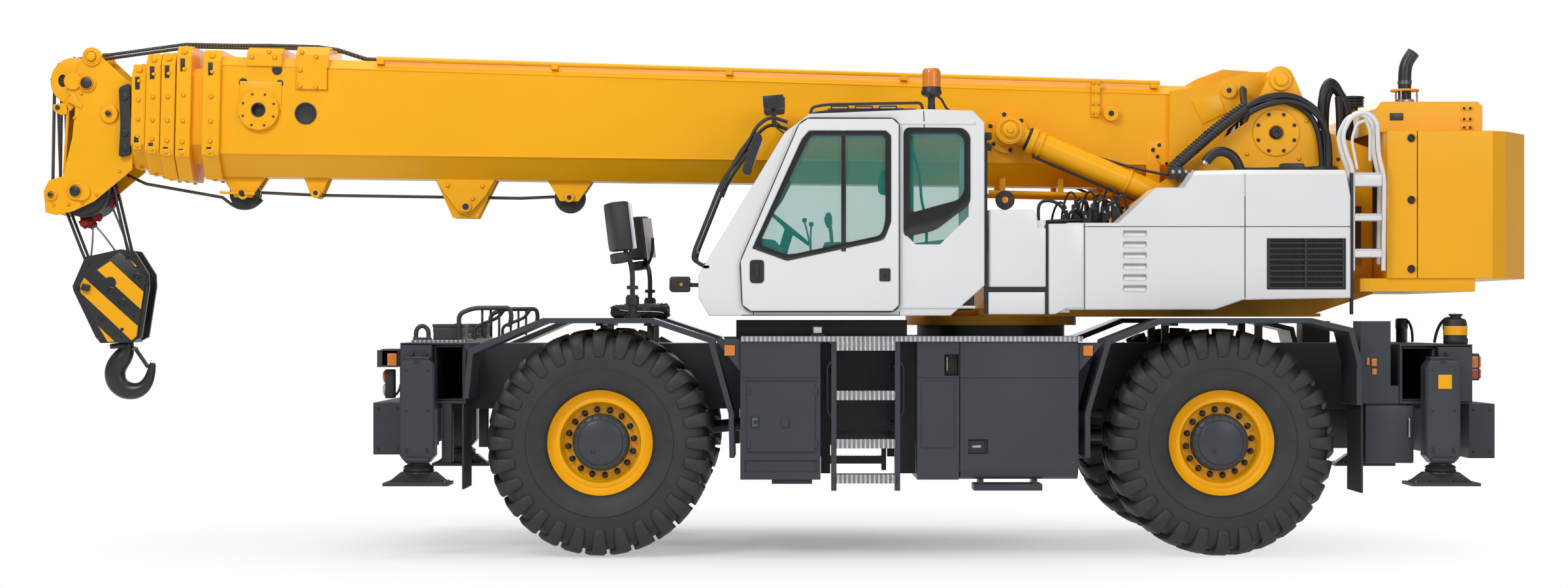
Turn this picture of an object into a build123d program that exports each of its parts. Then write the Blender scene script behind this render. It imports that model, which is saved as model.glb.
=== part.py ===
"""Two-axle rough-terrain telescopic crane, as an assembly of separate pieces.

Units are millimetres.  +X points to the rear, -Y is the operator's side, +Z is up.  The origin lies on the ground,
midway between the front and the rear extreme.  Each piece is written to parts/NODE.step.
"""

import os
from math import acos, atan2, cos, hypot, pi, sin

from build123d import *

# ---- running gear ----------------------------------------------------------------------------------------------
WHEEL_X = {"f": -1433.0, "r": 3644.0}  # axle stations, front and rear
TYRE_R = 935.0
TYRE_Y = 1225.0  # middle plane of each tyre
TYRE_HALF_W = 340.0
LUGS = 32
LUG_DEPTH = 52.0
SHOULDER_DROP = 26.0  # how far the crown falls from the middle to the shoulder
RIM_FLANGE_R = 449.0
RIM_BED_R = 415.0
RIM_BORE_R = 396.0
HUB_BORE_R = 90.05
SPINDLE_R = 90.0
HUB_R = 230.0
KINGPIN_Y = 1080.0
KINGPIN_R = 40.0
KINGPIN_FIT = 0.05
EAR_GAP = 128.0  # half height between the axle's ears
EAR_T = 44.0
KNUCKLE_GAP = 3.0
AXLE_R = 120.0
DIFF_R = 210.0

# ---- carrier ---------------------------------------------------------------------------------------------------
CHASSIS_HALF_W = 400.0
CHASSIS_Z = (1180.0, 1740.0)
CHASSIS_X = (WHEEL_X["f"] - 1567, WHEEL_X["r"] + 1956)
BODY_HALF_W = 1400.0  # outrigger boxes' ends
SLEW_X = 1870.0
SLEW_R = 640.0
SLEW_TOP = 1895.0
PEDESTAL_R = 700.0
SEAT_GAP = 0.3
FENDER_Y = (980.0, 1600.0)
FENDER_T = 40.0
LADDER_W = 560.0
ARCH_TOP = 1955.0
MIRROR_SOCKET_TOP = 2130.0
DECK_T = 23.0  # front step board
DECK_Z = (1763.0, 1806.0)  # underside and top of the side decks
LOCKER_Y = (705.0, 1580.0)
LOCKER_Z = (640.0, 1763.0)
LOCKER_X = (WHEEL_X["f"] + 1147, WHEEL_X["r"] - 1179)

# outrigger boxes: axle, x0 and x1 from its axle, z0, z1, jack's x from its axle, float's half length
OUTRIGGER_TABLE = (
    ("f", -1644.0, -1106.0, 1253.0, 1752.0, -1479.0, 265.0),
    ("r", 1476.0, 2071.0, 1253.0, 1739.0, 1783.0, 278.0),
)
OUTRIGGERS = [
    (end, WHEEL_X[end] + x0, WHEEL_X[end] + x1, z0, z1, WHEEL_X[end] + jack_x, half)
    for end, x0, x1, z0, z1, jack_x, half in OUTRIGGER_TABLE
]
NOSE_X = OUTRIGGERS[0][1]  # front face of the front outrigger box
STERN_X = OUTRIGGERS[1][2]  # rear face of the rear outrigger box
BOX_WALL = 14.0
BEAM_GAP = 6.0
BEAM_WALL = 16.0
BEAM_BACK = 1340.0  # the retracted beam's inner end lies this far over to the other side
JACK_HALF_W = 140.0
JACK_Y = (BODY_HALF_W + 12, BODY_HALF_W + 200)
JACK_Z = (775.0, 1618.0)
JACK_ROD_R = 62.0
JACK_FIT = 0.05
FLOAT_Z = (594.0, 700.0)

# ---- upper structure -------------------------------------------------------------------------------------------
PIVOT_X, PIVOT_Z = 4264.0, 3970.0
PIVOT_R = 55.0
PIVOT_LUG_R = 112.0
PLATE_Y = (700.0, 740.0)
TABLE_Z = (1895.3, 1975.0)
DRUM_X, DRUM_Z = 4225.0, 3520.0
AUX_X, AUX_Z = 4700.0, 3180.0
DRUM_R, DRUM_FLANGE_R = 170.0, 262.0
DRUM_SHAFT_R = 53.0
HOUSING_Y = (780.0, 1350.0)
CW_HALF_W = 1250.0
CW_X = (5049.0, 5923.0)
TAIL_X = 6316.0
CW_Z = (2283.0, 3502.0)
HOOD_Z = 3756.0

CAB_Y = (500.0, 1390.0)  # inner and outer side, both towards -Y
CAB_Z0 = 1975.0
CAB_ROOF_Z = 3669.0
CAB_REAR_X = 1715.0
CAB_WALL = 45.0
DOOR_T = 38.0
DOOR_GAP = 6.0

# ---- boom ------------------------------------------------------------------------------------------------------
BOOM_TILT = 1.24  # degrees that the boom's line rises forward in travel order
BOOM_HALF_W = 350.0
BOOM_AXIS_DROP = 470.0  # the boom's middle line lies this far under its foot pin
BASE_FRONT, BASE_REAR = -4780.0, 3800.0
BASE_H = (1030.0, 870.0)  # height of the base section at its mouth and at its foot
BASE_WALL = 14.0
BASE_CHAMFER = (80.0, 190.0)  # upper and lower corner cuts
# inner sections: name, height, half width, front end, length
SECTIONS = (
    ("tele_1", 812.0, 318.0, -5034.0, 7900.0),
    ("tele_2", 744.0, 292.0, -5173.0, 7960.0),
    ("tele_3", 676.0, 266.0, -5303.0, 8010.0),
    ("tele_4", 608.0, 240.0, -5435.0, 8060.0),
)
SECTION_WALL = 10.0
COLLAR_LAP = 20.0  # how far a collar reaches back over its section's mouth
SLIDE_FIT = 0.3  # gap between a section and the wear pads in the next collar
# collars: section, front face, rise above its middle, fall below its middle, half width
COLLARS = (
    ("boom_base", -4908.0, 560.0, 540.0, 400.0),
    ("tele_1", -5138.0, 590.0, 560.0, 385.0),
    ("tele_2", -5273.0, 530.0, 545.0, 365.0),
    ("tele_3", -5408.0, 520.0, 510.0, 345.0),
    ("tele_4", -5535.0, 430.0, 460.0, 325.0),
)
EYE_X, EYE_Z = 1984.0, 3548.0
LIFT_X, LIFT_Z = 3686.0, 2820.0
LIFT_Y = 562.0
BARREL_R, BORE_R, ROD_R = 100.0, 80.0, 74.0
EYE_R, EYE_PIN_R = 118.0, 62.0
EYE_Y = (452.3, 662.0)


# ---- helpers ---------------------------------------------------------------------------------------------------
def box(x, y, z):
    """A box from three (low, high) pairs."""
    size = (x[1] - x[0], y[1] - y[0], z[1] - z[0])
    centre = ((x[0] + x[1]) / 2, (y[0] + y[1]) / 2, (z[0] + z[1]) / 2)
    return Pos(*centre) * Box(*size)


def side_plate(points, y0, y1):
    """A plate with its outline in X and Z, from y0 to y1."""
    outline = Plane.XZ.offset(-y1) * Polygon(*points, align=None)
    return extrude(outline, amount=y1 - y0, dir=(0, -1, 0))


def section_plate(points, x0, x1):
    """A bar with its outline in Y and Z, from x0 to x1."""
    outline = Plane.YZ.offset(x0) * Polygon(*points, align=None)
    return extrude(outline, amount=x1 - x0, dir=(1, 0, 0))


def plan_plate(points, z0, z1):
    """A plate with its outline in X and Y, from z0 to z1."""
    return extrude(Plane.XY.offset(z0) * Polygon(*points, align=None), amount=z1 - z0, dir=(0, 0, 1))


def rod(start, end, radius, end_radius=None):
    """A round bar, or a cone, between two points."""
    a, b = Vector(*start), Vector(*end)
    base = Plane(origin=a, z_dir=(b - a).normalized())
    align = (Align.CENTER, Align.CENTER, Align.MIN)
    if end_radius is None:
        return base * Cylinder(radius, (b - a).length, align=align)
    return base * Cone(radius, end_radius, (b - a).length, align=align)


def disc_y(x, z, radius, y0, y1):
    """A round bar along Y."""
    return rod((x, y0, z), (x, y1, z), radius)


def post(x, y, radius, z0, z1):
    """A round bar along Z."""
    return rod((x, y, z0), (x, y, z1), radius)


def pipe(points, radius):
    """Round bars joined at slightly larger balls, for handrails and bent tubes."""
    run = rod(points[0], points[1], radius)
    for a, b in zip(points[1:], points[2:]):
        run += Pos(*a) * Sphere(radius * 1.12) + rod(a, b, radius)
    return run


def flip(shape):
    """The same shape on the other side."""
    return mirror(shape, about=Plane.XZ)


def both(shape):
    """The shape and its mirror image, as one compound."""
    return Compound(children=[*shape.solids(), *flip(shape).solids()])


def group(*shapes):
    """Several shapes that don't touch, as one compound."""
    return Compound(children=[s for shape in shapes for s in shape.solids()])


def boom_frame(shape):
    """Turns a shape that was drawn along a level boom to the boom's rest tilt about its foot pin."""
    turn = Pos(PIVOT_X, 0, PIVOT_Z) * Rot(0, BOOM_TILT, 0) * Pos(-PIVOT_X, 0, -PIVOT_Z)
    return turn * shape


def write(name, shape):
    """Writes one node."""
    solids = shape.solids()
    export_step(solids[0] if len(solids) == 1 else Compound(children=solids), f"parts/{name}.step")


BOOM_Z = PIVOT_Z - BOOM_AXIS_DROP  # the level boom's middle line


# ---- wheels ----------------------------------------------------------------------------------------------------
def lug_ring(turn, y0, y1):
    """One half of the tread: a toothed ring whose crown falls towards the shoulder."""
    faces = []
    for y, drop in ((y0, 0.0), (y1, SHOULDER_DROP)):
        points = []
        for n in range(LUGS):
            for share, r in ((0.04, TYRE_R - LUG_DEPTH), (0.10, TYRE_R), (0.62, TYRE_R),
                             (0.68, TYRE_R - LUG_DEPTH)):
                a = 2 * pi * (n + share + turn) / LUGS
                points.append(((r - drop) * cos(a), (r - drop) * sin(a)))
        faces.append(Plane.XZ.offset(-y) * make_face(Polyline(*points, close=True)))
    return loft(faces, ruled=True) - rod((0, y0 - 1, 0), (0, y1 + 1, 0), TYRE_R - 2.2 * LUG_DEPTH)


def tyre(x):
    """A tyre on its rim bed, drawn for the right side."""
    inner = TYRE_R - LUG_DEPTH - SHOULDER_DROP
    # outline: distance from the middle plane, radius
    outline = (
        (-286, RIM_BED_R), (-286, RIM_FLANGE_R + 6), (-352, 560), (-372, 700), (-TYRE_HALF_W, inner + 2),
        (TYRE_HALF_W, inner + 2), (372, 700), (352, 560), (286, RIM_FLANGE_R + 6), (286, RIM_BED_R),
    )
    face = Plane.YZ * make_face(Polyline(*[(y, r) for y, r in outline], close=True))
    body = revolve(face, Axis.Y, 360)
    body += lug_ring(0.0, -TYRE_HALF_W, 0.0)
    body += lug_ring(0.5, 0.0, TYRE_HALF_W)
    body -= rod((0, -400, 0), (0, 400, 0), RIM_BED_R)
    return Pos(x, TYRE_Y, TYRE_R) * body


def rim(x):
    """A dished wheel with its hub, drawn for the right side."""
    # outline: distance from the tyre's middle plane, radius
    outline = (
        (-286, RIM_BORE_R), (-286, RIM_BED_R - 0.2), (286, RIM_BED_R - 0.2), (286.3, RIM_FLANGE_R),
        (312, RIM_FLANGE_R),
        (312, RIM_BORE_R + 12), (262, 338), (214, 327), (206, HUB_R), (300, HUB_R - 14), (318, 188),
        (318, 0),
        (250, 0), (250, HUB_BORE_R), (20, HUB_BORE_R), (20, 190), (150, 200), (176, 330), (176, RIM_BORE_R),
    )
    face = Plane.YZ * make_face(Polyline(*outline, close=True))
    body = revolve(face, Axis.Y, 360)
    return Pos(x, TYRE_Y, TYRE_R) * body


def knuckle(x):
    """The steered end of an axle: a barrel on two king pins, and the wheel's spindle."""
    z = TYRE_R
    reach = EAR_GAP + EAR_T - 4
    body = post(x, KINGPIN_Y, 100, z - EAR_GAP + KNUCKLE_GAP, z + EAR_GAP - KNUCKLE_GAP)
    body += post(x, KINGPIN_Y, KINGPIN_R, z - reach, z + reach)
    body += disc_y(x, z, SPINDLE_R, KINGPIN_Y, TYRE_Y + 240)
    body += disc_y(x, z, 118, KINGPIN_Y, TYRE_Y + 19.7)
    body += box((x - 300, x - 60), (KINGPIN_Y - 75, KINGPIN_Y - 25), (z - 30, z + 30))
    return body


def axle(x):
    """A drive axle: a banjo housing with a forked end for each king pin."""
    z = TYRE_R
    beam = disc_y(x, z, AXLE_R, -900, 900)
    beam += Pos(x, 0, z) * Sphere(DIFF_R)
    beam += disc_y(x, z, 165, -250, 250)
    for side in (-1, 1):
        beam += box((x - 120, x + 120), tuple(sorted((side * 850, side * 912))), (z - 172, z + 172))
        for up in (-1, 1):
            low = z + up * EAR_GAP if up > 0 else z - EAR_GAP - EAR_T
            ear = box((x - 105, x + 105), tuple(sorted((side * 907, side * KINGPIN_Y))), (low, low + EAR_T))
            ear += post(x, side * KINGPIN_Y, 105, low, low + EAR_T)
            ear -= post(x, side * KINGPIN_Y, KINGPIN_R + KINGPIN_FIT, low - 1, low + EAR_T + 1)
            beam += ear
        beam += box((x - 190, x - 110), tuple(sorted((side * 230, side * 380))),
                    (z + 60, CHASSIS_Z[0] - SEAT_GAP))
        beam += box((x + 110, x + 190), tuple(sorted((side * 230, side * 380))),
                    (z + 60, CHASSIS_Z[0] - SEAT_GAP))
        beam += box((x - 190, x + 190), tuple(sorted((side * 230, side * 380))), (z - 100, z + 62))
    return beam


# ---- carrier ---------------------------------------------------------------------------------------------------
def carrier_frame():
    """The chassis girder with its two hollow outrigger boxes, end boxes and slewing pedestal."""
    w = CHASSIS_HALF_W
    z0, z1 = CHASSIS_Z
    girder = box(CHASSIS_X, (-w, w), (z0, z1))
    ring = [(SLEW_X + PEDESTAL_R * cos(pi * n / 8), PEDESTAL_R * sin(pi * n / 8)) for n in range(16)]
    girder += plan_plate(ring, 1560, z1)
    girder += box(LOCKER_X, (-LOCKER_Y[0] + SEAT_GAP, LOCKER_Y[0] - SEAT_GAP), (1000, z1 - 60))
    for _, x0, x1, low, high, _, _ in OUTRIGGERS:
        girder += box((x0, x1), (-BODY_HALF_W, BODY_HALF_W), (low, high))
    for _, x0, x1, low, high, _, _ in OUTRIGGERS:
        girder -= box((x0 + BOX_WALL, x1 - BOX_WALL), (-BODY_HALF_W - 1, BODY_HALF_W + 1),
                      (low + BOX_WALL, high - BOX_WALL))
        # wear pads that carry the beams at both mouths
        for side in (-1, 1):
            ends = tuple(sorted((side * (BODY_HALF_W - 10), side * (BODY_HALF_W - 100))))
            pad_z = (low + BOX_WALL - 1, low + BOX_WALL + BEAM_GAP - SEAT_GAP)
            girder += box((x0 + BOX_WALL, x1 - BOX_WALL), ends, pad_z)
    # front and rear lower boxes, one across each end
    end_y = (-BODY_HALF_W + 110, BODY_HALF_W - 110)
    neck_y = (-500, 500)
    girder += box((NOSE_X - 238, NOSE_X), end_y, (830, 1258)) + box((NOSE_X - 13, NOSE_X + 77), neck_y,
            (830, 1253))
    girder += box((STERN_X, STERN_X + 212), end_y, (800, 1248)) + box((STERN_X - 115, STERN_X + 15),
            neck_y, (800, 1253))
    return girder


def outrigger_beam(x0, x1, z0, z1, jack_x):
    """A beam and its jack housing for the -Y side; the beam slides towards -Y."""
    low, high = z0 + BOX_WALL + BEAM_GAP, z1 - BOX_WALL - BEAM_GAP
    beam = box((x0, x1), (-JACK_Y[0] - 60, BEAM_BACK), (low, high))
    beam -= box((x0 + BEAM_WALL, x1 - BEAM_WALL), (-1380, BEAM_BACK + 1),
                (low + BEAM_WALL, high - BEAM_WALL))
    housing = section_housing(jack_x)
    beam += housing
    beam -= post(jack_x, -(JACK_Y[0] + JACK_Y[1]) / 2, JACK_ROD_R + JACK_FIT, JACK_Z[0] - 1, JACK_Z[1] - 60)
    return beam


def section_housing(x):
    """The jack's upright housing, with cut lower corners."""
    w, (low, high) = JACK_HALF_W, JACK_Z
    outline = (
        (x - w + 50, low), (x + w - 50, low), (x + w, low + 60), (x + w, high - 60), (x + w - 45, high),
        (x - w + 45, high), (x - w, high - 60), (x - w, low + 60),
    )
    return side_plate(outline, -JACK_Y[1], -JACK_Y[0])


def jack(x, half):
    """The jack's inner tube and its float, for the -Y side."""
    y = -(JACK_Y[0] + JACK_Y[1]) / 2
    low, high = FLOAT_Z
    leg = post(x, y, JACK_ROD_R, high - 30, JACK_Z[1] - 66)
    leg += rod((x, y, high - 12), (x, y, JACK_Z[0] - 6), 118, 92)
    leg += box((x - half, x + half), (y - 210, y + 160), (low, low + 26))
    leg += side_plate(
        ((x - half + 20, low + 20), (x + half - 20, low + 20), (x + 140, high), (x - 140, high)), y - 60,
        y + 60
    )
    return leg


# outer and inner line of each arch, as X from its axle and Z
ARCHES = {
    "f": (
        ((-1103, 1300), (-1067, 1704), (-462, ARCH_TOP), (430, ARCH_TOP), (927, 1789), (1094, 1184),
         (1101, 818)),
        ((-1061, 1300), (-1025, 1664), (-452, 1912), (420, 1912), (888, 1755), (1051, 1178), (1059, 818)),
    ),
    "r": (
        ((-1126, 818), (-1126, 1184), (-951, 1779), (-502, ARCH_TOP), (716, ARCH_TOP), (1056, 1874),
         (1124, 1600), (1124, 1248)),
        ((-1084, 818), (-1084, 1178), (-918, 1742), (-494, 1912), (708, 1912), (1018, 1840), (1082, 1592),
         (1082, 1248)),
    ),
}
STAYS = {"f": (-67, 333), "r": (-344, 456)}  # X of each stay from its axle


def fenders():
    """Four fenders, with the stays that join each one to the chassis."""
    pieces = []
    for end, wheel_x in WHEEL_X.items():
        outer, inner = ([(wheel_x + x, z) for x, z in line] for line in ARCHES[end])
        arch = side_plate((*outer, *reversed(inner)), *FENDER_Y)
        for x in (wheel_x + stay for stay in STAYS[end]):
            arch += box((x, x + 60), (CHASSIS_HALF_W - 5, FENDER_Y[0] + 30), (1890, 1925))
            arch += box((x, x + 60), (CHASSIS_HALF_W + 0.3, CHASSIS_HALF_W + 60), (1500, 1925))
        pieces.append(both(arch))
    return group(*pieces)


def side_lockers():
    """Tool lockers and tanks between the wheels, on both sides."""
    y0, y1 = LOCKER_Y
    pieces = []
    front, rear = LOCKER_X
    # x0 and x1 of each box
    for x0, x1 in ((front, front + 653), (rear - 1312, rear - 972), (rear - 961, rear)):
        locker = box((x0, x1), (y0 + SEAT_GAP, y1), LOCKER_Z)
        pieces.append(locker)
    tool, mid, tank = pieces
    tool -= box((front + 36, front + 628), (y1 - 6, y1 + 1), (1436, 1446))
    tool += box((front + 56, front + 608), (y1 - 1, y1 + 12), (871, 1428))
    tool += box((front + 336, front + 396), (y1, y1 + 26), (1070, 1130))
    tool -= box((front + 36, front + 628), (y1 - 20, y1 + 1), (700, 800))
    mid -= box((rear - 1090, rear - 975), (y1 - 120, y1 + 1), (1486, 1660))
    mid += box((rear - 1275, rear - 1015), (y1 - 1, y1 + 10), (900, 1440))
    tank = fillet(tank.edges().filter_by(Axis.X).group_by(Axis.Z)[0], 120)
    tank -= box((rear - 895, rear - 735), (y1 - 40, y1 + 1), (850, 970))
    return both(group(tool, mid, tank))


def deck_plates():
    """Chequer deck strips on top of the lockers, and the step board over the front outrigger box."""
    strip = box((LOCKER_X[0] + 6, LOCKER_X[1] + 35), (LOCKER_Y[0], FENDER_Y[1]),
                (DECK_Z[0] + SEAT_GAP, DECK_Z[1]))
    low = OUTRIGGERS[0][4] + SEAT_GAP
    front = box((NOSE_X + 77, NOSE_X + 517), (-1300, 1300), (low, low + DECK_T))
    return group(both(strip), front)


def ladders():
    """Access ladders: two rails with four treads on each side."""
    y0, y1 = LOCKER_Y[1] - 140, LOCKER_Y[1] + 5
    first = LOCKER_X[0] + 741
    last = first + LADDER_W
    top = LOCKER_Z[1] - SEAT_GAP
    rails = box((first, first + 42), (y0, y1), (550, top)) + box((last - 42, last), (y0, y1), (550, top))
    for low, high in ((1690, top - 0.2), (1288, 1359), (895, 966), (610, 680)):
        rails += box((first + 35, last - 35), (y0, y1 + 10), (low, high))
    for x in (first, last - 44):
        for z in (1020, 1500):
            rails += box((x, x + 44), (LOCKER_Y[0] + SEAT_GAP, y0 + 5), (z, z + 60))
    return both(rails)


def slew_ring():
    """The fixed half of the slewing bearing, on the chassis."""
    z0, flange = CHASSIS_Z[1], CHASSIS_Z[1] + 40
    ring = post(SLEW_X, 0, SLEW_R, z0, SLEW_TOP) + post(SLEW_X, 0, SLEW_R + 60, z0, flange)
    return ring - post(SLEW_X, 0, SLEW_R - 110, z0 - 1, SLEW_TOP + 1)


def mirror_stands():
    """Flanged sockets on the front fenders; the mirrors' folding arms are clamped in them."""
    x, y, z = WHEEL_X["f"] + 263, FENDER_Y[1] - 150, ARCH_TOP
    stand = post(x, y, 70, z, z + 14) + post(x, y, 38, z, MIRROR_SOCKET_TOP)
    stand += post(x, y, 55, MIRROR_SOCKET_TOP - 70, MIRROR_SOCKET_TOP)
    return both(stand)


def carrier_lamps():
    """Head lamps and tail lamps, each on its bracket, and the boxes ahead of the rear outriggers."""
    w = BODY_HALF_W
    head = box((NOSE_X - 213, NOSE_X - 43), (w - 420, w - 150), (1550, 1690))
    head += box((NOSE_X - 63, NOSE_X - SEAT_GAP), (w - 350, w - 220), (1560, 1640))
    tail = box((STERN_X + SEAT_GAP, STERN_X + 85), (w - 420, w - 140), (1440, 1660))
    x1 = OUTRIGGERS[1][1] - SEAT_GAP
    side_box = box((x1 - 320, x1), (w - 300, w - 20), (1253, 1400)) + box((x1 - 320, x1 - 70),
            (w - 300, w - 20), (1400, 1930))
    return group(both(head), both(tail), both(side_box))


def deck_fittings():
    """Front chest, lifting eyes, handrails, the covered case on the right front fender and the rear canister."""
    y, z = BODY_HALF_W - 280, OUTRIGGERS[0][4] + DECK_T + 2 * SEAT_GAP
    x = NOSE_X + 147
    eye = box((x - 45, x + 45), (y, y + 60), (z, z + 25)) + disc_y(x, z + 45, 45, y, y + 60)
    eye -= disc_y(x, z + 50, 20, y - 1, y + 61)
    chest = box((NOSE_X + 237, NOSE_X + 477), (700, 1150), (z, z + 130))
    x, y = NOSE_X + 457, BODY_HALF_W - 200
    rail = pipe(((x, y, z), (x, y, z + 235), (x + 290, y, z + 265), (x + 330, y, z + 40)), 15)
    x, z = WHEEL_X["f"] - 67, ARCH_TOP + SEAT_GAP
    case_y = (FENDER_Y[0] + 20, FENDER_Y[0] + 370)
    case = side_plate(((x, z), (x + 60, z + 110), (x + 400, z + 130), (x + 520, z)), *case_y)
    x, y, z = STERN_X - 90, BODY_HALF_W - 190, OUTRIGGERS[1][4] + SEAT_GAP
    can = post(x, y, 95, z, z + 215) + post(x, y, 60, z + 210, z + 245)
    return group(both(chest), both(rail), both(eye), case, flip(can))


def mud_flaps():
    """Rubber flaps ahead of the front wheels and behind the rear ones."""
    y = (FENDER_Y[0] + 30, FENDER_Y[1] - 40)
    x, low = OUTRIGGERS[0][2], OUTRIGGERS[0][3]
    front = box((x - 13, x + 3), y, (560, low - SEAT_GAP))
    x = WHEEL_X["r"] + ARCHES["r"][0][-1][0] + SEAT_GAP
    rear = box((x, x + 16), y, (530, 1300))
    return group(both(front), both(rear))


# ---- upper structure -------------------------------------------------------------------------------------------
def turntable():
    """Base plate, two side plates with the boom foot's lugs, and cross members."""
    z0, z1 = TABLE_Z
    table = post(SLEW_X, 0, 740, z0, z1)
    table += box((SLEW_X, 4600), (-PLATE_Y[1], PLATE_Y[1]), (z1 - 7, z1 + 20))
    outline = (
        (1850, z1), (1850, 2110), (2790, 2771), (3989, 3620), (4150, 3960), (4380, 3990), (4560, 3560),
        (5040, 3380),
        (5040, 2160), (4500, z1),
    )
    plate = side_plate(outline, *PLATE_Y) + disc_y(PIVOT_X, PIVOT_Z, PIVOT_LUG_R, *PLATE_Y)
    plate -= side_plate(((4700, 2400), (4950, 2400), (4950, 2900), (4700, 2900)), 690, 750)
    plate -= disc_y(DRUM_X, DRUM_Z, DRUM_SHAFT_R + 0.05, 690, 750)
    plate -= disc_y(AUX_X, AUX_Z, DRUM_SHAFT_R + 0.05, 690, 750)
    plate -= disc_y(PIVOT_X, PIVOT_Z, PIVOT_R + 0.05, 690, 750)
    table += plate + flip(plate)
    table += box((2700, 2760), (-705, 705), (1970, 2500)) + box((4900, 5040), (-705, 705), (2170, 2300))
    lift = box((3600, 3772), (662.3, 705), (2700, 2930)) + box((3600, 3772), (395, 445), (1970, 2900))
    table += lift + flip(lift)
    table += disc_y(LIFT_X, LIFT_Z, 60, 395, 705) + flip(disc_y(LIFT_X, LIFT_Z, 60, 395, 705))
    # brackets for the machinery housings and the cab
    table += box((2500, 4600), (-HOUSING_Y[0] + SEAT_GAP, HOUSING_Y[0] - SEAT_GAP), (2110, 2150)) - box(
        (2400, 4700), (-690, 690), (2000, 2700)
    )
    table += box((900, 1880), (-740, -440), (z1, 2040)) - box((900, 1716), (-760, -499.7), (1900, 2100))
    return table


def cab_outline(grow=0.0):
    """The cab's side outline in X and Z, shrunk or grown by an offset."""
    g = grow
    return (
        (-546 - g, CAB_Z0 - g), (-632 - g, 2120), (-632 - g, 2308 + g * 0.3), (75 - g, 3476 + g),
        (279 - g * 0.4, 3631 + g),
        (1233, CAB_ROOF_Z + g), (1618 + g * 0.4, 3658 + g), (CAB_REAR_X + g, 3560),
        (CAB_REAR_X + g, 2222 - g * 0.4),
        (1436 + g * 0.4, CAB_Z0 - g),
    )


DOOR_OUTLINE = ((-284, 2420), (-268, 2060), (-200, 2013), (960, 2013), (1010, 2060), (1010, 3540),
                (960, 3586), (265, 3586), (195, 3540))
DOOR_GLASS = ((-190, 2525), (95, 2423), (890, 2594), (948, 2742), (948, 3450), (905, 3490), (275, 3490),
              (215, 3420))
REAR_GLASS = ((1070, 2640), (1150, 2560), (1350, 2560), (1585, 2790), (1585, 3450), (1545, 3500),
              (1110, 3500), (1070, 3450))


def cab_shell():
    """A hollow cab with its door opening and windows cut."""
    y0, y1 = -CAB_Y[1], -CAB_Y[0]
    shell = side_plate(cab_outline(), y0, y1)
    shell -= side_plate(cab_outline(-CAB_WALL), y0 + CAB_WALL, y1 - CAB_WALL)
    opening = ((-225, 2430), (-210, 2075), (950, 2075), (950, 3530), (255, 3530))
    shell -= side_plate(opening, y0 - 1, y0 + CAB_WALL + 1)
    shell -= side_plate(REAR_GLASS, y0 - 1, y0 + CAB_WALL + 1)
    inner = ((-200, 2480), (900, 2560), (1560, 2640), (1560, 3480), (300, 3480))
    shell -= side_plate(inner, y1 - CAB_WALL - 1, y1 + 1)
    # windscreen, roof and rear windows, each cut through its own wall
    shell -= side_plate(((-760, 2330), (-560, 2250), (130, 3470), (-100, 3600)), y0 + 70, y1 - 70)
    shell -= box((480, 1050), (y0 + 170, y1 - 170), (3560, 3760))
    shell -= box((1600, 1800), (y0 + 120, y1 - 120), (2700, 3480))
    # the sliding door's runners
    for x0, low in ((270, 3545), (-200, 2034)):
        shell += box((x0, 1640), (y0 - DOOR_GAP + SEAT_GAP, y0 + 1), (low, low + 22))
    return shell


def cab_glass():
    """The fixed panes."""
    y0, y1 = -CAB_Y[1], -CAB_Y[0]
    t = 8
    rear_side = side_plate(REAR_GLASS, y0 + 12, y0 + 12 + t)
    inner = side_plate(((-200, 2480), (900, 2560), (1560, 2640), (1560, 3480), (300, 3480)), y1 - 22, y1
                       - 22 + t)
    screen = side_plate(((-618, 2300), (-611, 2296), (92, 3468), (85, 3472)), y0 + 70, y1 - 70)
    front = screen & side_plate(cab_outline(), y0, y1)
    roof = box((480, 1050), (y0 + 170, y1 - 170), (3632, 3640))
    back = box((1690, 1698), (y0 + 120, y1 - 120), (2700, 3480))
    return group(rear_side, inner, front, roof, back)


def cab_interior():
    """Seat, console, column and floor mat."""
    y = -950.0
    floor = CAB_Z0 + CAB_WALL
    seat = box((500, 1040), (y - 250, y + 250), (floor + 300, floor + 430))
    seat += box((620, 900), (y - 120, y + 120), (floor + 0.3, floor + 305))
    seat += side_plate(((960, floor + 380), (1110, floor + 380), (1230, 3240), (1110, 3260)), y - 240, y
                       + 240)
    seat += box((560, 960), (y - 380, y - 270), (floor + 0.3, floor + 560)) + box((560, 960),
            (y + 270, y + 380), (floor + 0.3, floor + 560))
    seat += box((560, 620), (y - 380, y + 380), (floor + 0.3, floor + 120))
    column = rod((5, y, floor + 40), (130, y, floor + 720), 40)
    column += rod((120, y, floor + 690), (136, y, floor + 730), 190)
    column += box((-480, -180), (y - 300, y + 300), (floor + 0.3, floor + 260))
    column += box((-480, 60), (y - 60, y + 60), (floor + 0.3, floor + 90))
    return group(seat, column)


def cab_door():
    """The sliding door, with its glass opening."""
    y1 = -CAB_Y[1] - DOOR_GAP
    y0 = y1 - DOOR_T
    door = side_plate(DOOR_OUTLINE, y0, y1)
    door -= side_plate(DOOR_GLASS, y0 - 1, y1 + 1)
    door += box((538, 578), (y0, y1), (2440, 3500))
    door -= box((-205, -95), (y0 - 1, y0 + 14), (2270, 2420))
    door += box((-180, -120), (y0 + 2, y0 + 16), (2260, 2430))
    return door


def door_glass():
    """The door's two panes, on each side of its bar."""
    y1 = -CAB_Y[1] - DOOR_GAP - DOOR_T / 2
    pane = side_plate(DOOR_GLASS, y1 - 4, y1 + 4)
    return pane - box((537.7, 578.3), (y1 - 10, y1 + 10), (2300, 3600))


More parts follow.
